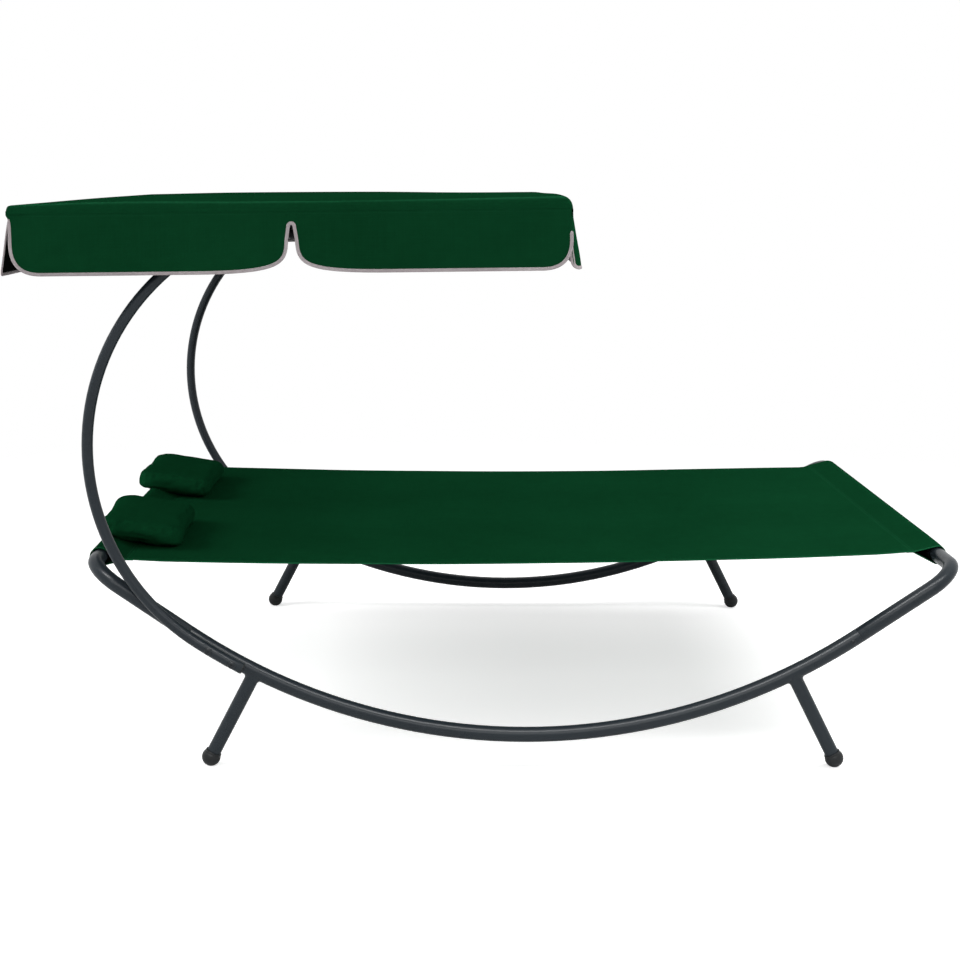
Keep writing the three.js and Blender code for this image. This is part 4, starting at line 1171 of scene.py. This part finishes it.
def valance(panel):
    depth_line = sorted({round(p.x, 6): p.y for p in panel.edge}.items())
    xs = [x for x, _ in depth_line]
    depths = [y for _, y in depth_line]
    depths[0] = depths[-1] = -VALANCE_DROP + panel.corner
    shares = spaced(0.1, 1.0, 17)

    def spot(i, j):
        return TOP_LANES[j] if j < len(TOP_LANES) else depths[i] * shares[j - len(TOP_LANES)]

    def place(i, j):
        y = spot(i, j)
        return panel.hang(xs[i], y, -CLOTH / 2 + lap(y))

    rows = len(TOP_LANES) + len(shares) - 1
    piece = cloth_grid(f"{panel.name}_skirt", len(xs) - 1, rows, place, lambda i, j: (xs[i], spot(i, j)))
    if piece.data.polygons[0].normal.dot(panel.outwards) < 0:
        piece.data.flip_normals()
    return two_faced(piece, SKIRT_CANVAS, f"{panel.name}_valance")


TAPE_END_SHARES = (0.45, 0.75, 0.93)
TAPE_SIDES = 14
TAPE_GIRTH = 0.02


def tape_section():
    """The tape's flat oval, as shares of its width and its thickness."""
    turns = [2 * math.pi * i / TAPE_SIDES for i in range(TAPE_SIDES)]
    ovals = ((math.cos(turn), math.sin(turn)) for turn in turns)
    return [(math.copysign(abs(wide) ** 0.7, wide), math.copysign(abs(thick) ** 0.8, thick))
            for wide, thick in ovals]


def tape(panel):
    """Tape folded over the cut edge: a flat oval carried along the edge, closed at both ends."""
    line, last = panel.edge, len(panel.edge) - 1
    verts, runs, section = [], [], tape_section()
    for i, point in enumerate(line):
        step = (line[min(i + 1, last)] - line[max(i - 1, 0)]).normalized()
        normal = Vector((-step.y, step.x))
        runs.append(runs[-1] + (point - line[i - 1]).length if i else 0.0)
        slim = (*TAPE_END_SHARES, 1.0)[min(i, last - i, len(TAPE_END_SHARES))]
        for wide, thick in section:
            spot = point + normal * wide * BINDING_WIDTH / 2 * slim
            verts.append(panel.hang(spot.x, spot.y, thick * BINDING_THICKNESS / 2 * slim - CLOTH / 2))
    faces = [tuple(range(TAPE_SIDES)), tuple(len(verts) - 1 - k for k in range(TAPE_SIDES))]
    for start in range(0, last * TAPE_SIDES, TAPE_SIDES):
        for k in range(TAPE_SIDES):
            a, b = start + k, start + (k + 1) % TAPE_SIDES
            faces.append((a, b, b + TAPE_SIDES, a + TAPE_SIDES))
    mesh = bpy.data.meshes.new(f"{panel.name}_tape")
    mesh.from_pydata(verts, [], faces)
    layer = mesh.uv_layers.new(name="cut")
    for loop in mesh.loops:
        ring, k = divmod(loop.vertex_index, TAPE_SIDES)
        layer.data[loop.index].uv = (runs[ring], k / TAPE_SIDES * TAPE_GIRTH)
    piece = placed(f"{panel.name}_tape", mesh)
    face_outwards(piece)
    return hang_canopy_piece(smooth(piece, 60), "grey_binding", f"{panel.name}_valance_binding")


def edge_area(panel):
    return sum((b.x - a.x) * -(a.y + b.y) / 2 for a, b in zip(panel.edge, panel.edge[1:]))


PANELS = []
for side, sign in SIDES:
    slits = (HEAD_SLIT, FOOT_SLIT) if sign < 0 else (FOOT_SLIT, HEAD_SLIT)
    PANELS.append(Panel(side, Vector((0, sign, 0)), CANOPY_HALF_WIDTH, CANOPY_HALF_LENGTH,
                        SIDE_PANEL_CORNER, 1, SIDE_FLARE, slits, 0.0, (sign < 0, sign > 0), 11.3 + sign))
for end, sign, slit, flare, spread, curl in (("head", -1, HEAD_SLIT, HEAD_END_FLARE, HEAD_SPREAD, 0.0),
                                             ("foot", 1, FOOT_SLIT, FOOT_END_FLARE, FOOT_SPREAD, FOOT_CURL)):
    PANELS.append(Panel(end, Vector((sign, 0, 0)), CANOPY_HALF_LENGTH + spread,
                        CANOPY_HALF_WIDTH - END_PANEL_INSET, END_PANEL_CORNER, 2, flare, (slit, slit), curl,
                        (sign < 0, sign < 0), 23.9 + sign))
for panel in PANELS:
    skirt = valance(panel)
    bound = tape(panel)
    edge_area(panel) + TOP_LANES[0] * 2 * panel.half


# Pillows

PILLOW_VOXEL = 0.005
PILLOW_SHRINK = 0.985
PILLOW_TILT = math.radians(9.5)
PILLOW_BELLY = 0.008
PILLOW_BAR = 0.048
PILLOW_OVERHANG = 0.063
PILLOW_THINNING = 0.06
PILLOW_END_FULLNESS = 0.006
PILLOW_DROOP = {"right": 0.009, "left": 0.008}
PILLOW_TURN = {"right": math.radians(2.6), "left": 0.0}
PILLOW_SHIFT = {"right": Vector((0.009, 0, -0.0015)), "left": Vector((0, 0, 0))}
PILLOW_CANVAS = cloth_finish("pillow_canvas")
BORDER_BLUNTNESS = 0.6
DROOP_BEND = 1.3
SWELL_STEPS = 20
SWELL_PRESSURE = 4.0
SWELL_SHRINK = -0.03
SWELL_LIMIT = 0.006


def fill_out(mesh, droop, middle, half_width):
    """Blunts a pillow's border and lets its head end droop over the bar."""
    upwards = Vector((math.sin(PILLOW_TILT), 0, math.cos(PILLOW_TILT)))
    footwards = Vector((math.cos(PILLOW_TILT), 0, -math.sin(PILLOW_TILT)))
    heights = [vertex.co.dot(upwards) for vertex in mesh.vertices]
    runs = [vertex.co.dot(footwards) for vertex in mesh.vertices]
    seam, centre = min(heights) + PILLOW_BELLY * PILLOW_SHRINK, (min(runs) + max(runs)) / 2
    crown_height, half_length = max(heights) - seam, (max(runs) - min(runs)) / 2
    for vertex, height, run in zip(mesh.vertices, heights, runs):
        tallest = crown_height if height > seam else PILLOW_BELLY
        share = min(abs(height - seam) / tallest, 1.0)
        fuller = math.copysign(tallest * share ** BORDER_BLUNTNESS, height - seam)
        to_head = max(0.0, (centre - run) / half_length) ** 2
        if height > seam:
            fuller *= 1 - PILLOW_THINNING * to_head
        beyond = max(0.0, (centre - run - PILLOW_BAR) / PILLOW_OVERHANG)
        across = (vertex.co.y - middle.y) / half_width
        bulge = PILLOW_END_FULLNESS * (1 - across ** 2) * to_head
        vertex.co += (upwards * (seam + fuller - height) - footwards * bulge
                      - UP * droop * beyond ** DROOP_BEND)


def swell(piece):
    """Fills a pad with air in a short cloth simulation, and holds each point near where it was."""
    rest = [vertex.co.copy() for vertex in piece.data.vertices]
    cloth = piece.modifiers.new("swell", "CLOTH")
    cloth.settings.use_pressure = True
    cloth.settings.uniform_pressure_force = SWELL_PRESSURE
    cloth.settings.effector_weights.gravity = 0.0
    cloth.settings.shrink_min = SWELL_SHRINK
    cloth.point_cache.frame_start = 1
    cloth.point_cache.frame_end = SWELL_STEPS
    for step in range(1, SWELL_STEPS + 1):
        bpy.context.scene.frame_set(step)
    only(piece)
    bpy.ops.object.modifier_apply(modifier=cloth.name)
    bpy.context.scene.frame_set(1)
    for vertex, start in zip(piece.data.vertices, rest):
        moved = vertex.co - start
        if moved.length > SWELL_LIMIT:
            vertex.co = start + moved.normalized() * SWELL_LIMIT


def pillow(side):
    """A loose pad, swollen from its slightly smaller form."""
    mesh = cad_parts[f"{side}_pillow"].data.copy()
    mesh.materials.clear()
    piece = placed(f"{side}_pad", mesh)
    low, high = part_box(f"{side}_pillow")
    middle = (low + high) / 2
    for vertex in mesh.vertices:
        vertex.co = middle + (vertex.co - middle) * PILLOW_SHRINK
    face_outwards(piece)
    fill_out(mesh, PILLOW_DROOP[side], middle, (high.y - low.y) / 2)
    turn = Matrix.Rotation(PILLOW_TURN[side], 4, "Z")
    mesh.transform(Matrix.Translation(middle + PILLOW_SHIFT[side]) @ turn @ Matrix.Translation(-middle))
    apply_modifier(piece, "REMESH", mode="VOXEL", voxel_size=PILLOW_VOXEL)
    swell(piece)
    apply_modifier(piece, "SUBSURF", levels=1, render_levels=1)
    smooth(piece, 180)
    layer = piece.data.uv_layers.new(name="cut")
    for loop in piece.data.loops:
        layer.data[loop.index].uv = piece.data.vertices[loop.vertex_index].co.xy
    dress(piece, f"{side}_pillow", "green_cloth", f"{side}_pillow", canvas=PILLOW_CANVAS)


for side, _ in SIDES:
    pillow(side)


# CAD nodes that stay in sight take their finish here: the sleeves inside the tube joints
for name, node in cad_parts.items():
    if name.endswith("_sleeve"):
        node.data.materials.clear()
        node.data.materials.append(FINISHES["frame_paint"])


# Stage, lights and camera

FLOOR_RADIUS = 9.0
FLOOR_GLOW = 0.55
FADE_START = 1.6
FADE_RUN = 2.6
WORLD_LEVEL = 0.5


def stage_floor():
    """A pale floor that fades into the white round it, and is clear from below."""
    bpy.ops.mesh.primitive_circle_add(vertices=96, radius=FLOOR_RADIUS, fill_type="NGON", location=(0, 0, 0))
    floor = bpy.context.active_object
    floor.name = "studio_floor"
    material, tree, surface, place = new_finish("pale_floor")
    feed(surface["Base Color"], run_colours(tree, noise_at(tree, place, 2.0), (0.90,) * 3, (0.92,) * 3))
    feed(surface["Roughness"], 0.9)
    feed(surface["Specular IOR Level"], 0.1)
    reach = add_node(tree, "VectorMath", {0: place}, operation="LENGTH")["Value"]
    fade = ((reach - FADE_START) / FADE_RUN).math("MINIMUM", 1.0).math("MAXIMUM", 0.0)
    behind = add_node(tree, "NewGeometry")["Backfacing"]
    clear = add_node(tree, "BsdfTransparent")["BSDF"]
    seen = add_node(tree, "LightPath")["Is Camera Ray"]
    glow = add_node(tree, "Emission", {"Strength": seen * FLOOR_GLOW})["Emission"]
    matt = Value(tree.nodes["Principled BSDF"].outputs[0])
    lit = add_node(tree, "AddShader", {0: matt, 1: glow})["Shader"]
    mixed = add_node(tree, "MixShader", {0: fade.math("MAXIMUM", behind), 1: lit, 2: clear})["Shader"]
    feed(tree.nodes["Material Output"].inputs["Surface"], mixed)
    floor.data.materials.append(material)


def soft_lamp(name, place, target, size, power, diffuse=True, glossy=True):
    lamp = bpy.data.lights.new(name, "AREA")
    lamp.shape = "RECTANGLE"
    lamp.size, lamp.size_y = size
    lamp.energy = power
    made = placed(name, lamp)
    made.location = place
    made.rotation_euler = (Vector(target) - Vector(place)).to_track_quat("-Z", "Y").to_euler()
    made.visible_camera = False
    made.visible_diffuse = diffuse
    made.visible_glossy = glossy


def studio():
    stage_floor()
    soft_lamp("front_softbox", (-0.2, -4.8, 2.5), (0, 0, 0.6), (3.6, 1.8), 75)
    soft_lamp("strip_softbox", (0.1, -2.9, 4.4), (0, 0, 0.4), (5.2, 0.6), 270, diffuse=False)
    soft_lamp("slope_softbox", (-2.1, -2.9, 4.2), (0.9, -0.7, 0.4), (1.6, 1.0), 75, diffuse=False)
    soft_lamp("foot_softbox", (2.3, -0.3, 2.7), (0.3, 0, 0.4), (1.8, 1.8), 84, glossy=False)
    soft_lamp("head_softbox", (-3.6, -0.6, 2.2), (-0.4, 0, 0.4), (1.6, 1.2), 75, glossy=False)
    world = bpy.data.worlds.new("studio")
    bpy.context.scene.world = world
    world.use_nodes = True
    rays = add_node(world.node_tree, "LightPath")
    reflected = rays["Is Glossy Ray"].math("MAXIMUM", rays["Is Transmission Ray"])
    seen = rays["Is Camera Ray"].math("MAXIMUM", reflected)
    background = world.node_tree.nodes["Background"].inputs
    feed(background["Color"], (1, 1, 1))
    feed(background["Strength"], seen * (1 - WORLD_LEVEL) + WORLD_LEVEL)


CAMERA_PLACE = Vector((-0.1173, -4.58917, 1.34649))
CAMERA_YAW = 0.0187115
CAMERA_PITCH = 0.1748465
CAMERA_ROLL = 0.0086352
FOCAL_PIXELS = 1741.167
IMAGE_PIXELS = 960
SENSOR = 36.0


def camera():
    data = bpy.data.cameras.new("camera")
    data.sensor_width = SENSOR
    data.lens = SENSOR * FOCAL_PIXELS / IMAGE_PIXELS
    made = placed("camera", data)
    level = Vector((math.cos(CAMERA_YAW), -math.sin(CAMERA_YAW), 0))
    forward = Vector((math.sin(CAMERA_YAW), math.cos(CAMERA_YAW), 0))
    ahead = forward * math.cos(CAMERA_PITCH) - UP * math.sin(CAMERA_PITCH)
    upright = level.cross(ahead)
    right = level * math.cos(CAMERA_ROLL) + upright * math.sin(CAMERA_ROLL)
    top = upright * math.cos(CAMERA_ROLL) - level * math.sin(CAMERA_ROLL)
    turn = Matrix((right, top, -ahead)).transposed()
    made.matrix_world = Matrix.Translation(CAMERA_PLACE) @ turn.to_4x4()
    bpy.context.scene.camera = made


studio()
camera()
bpy.context.scene.view_settings.view_transform = "Standard"

only()
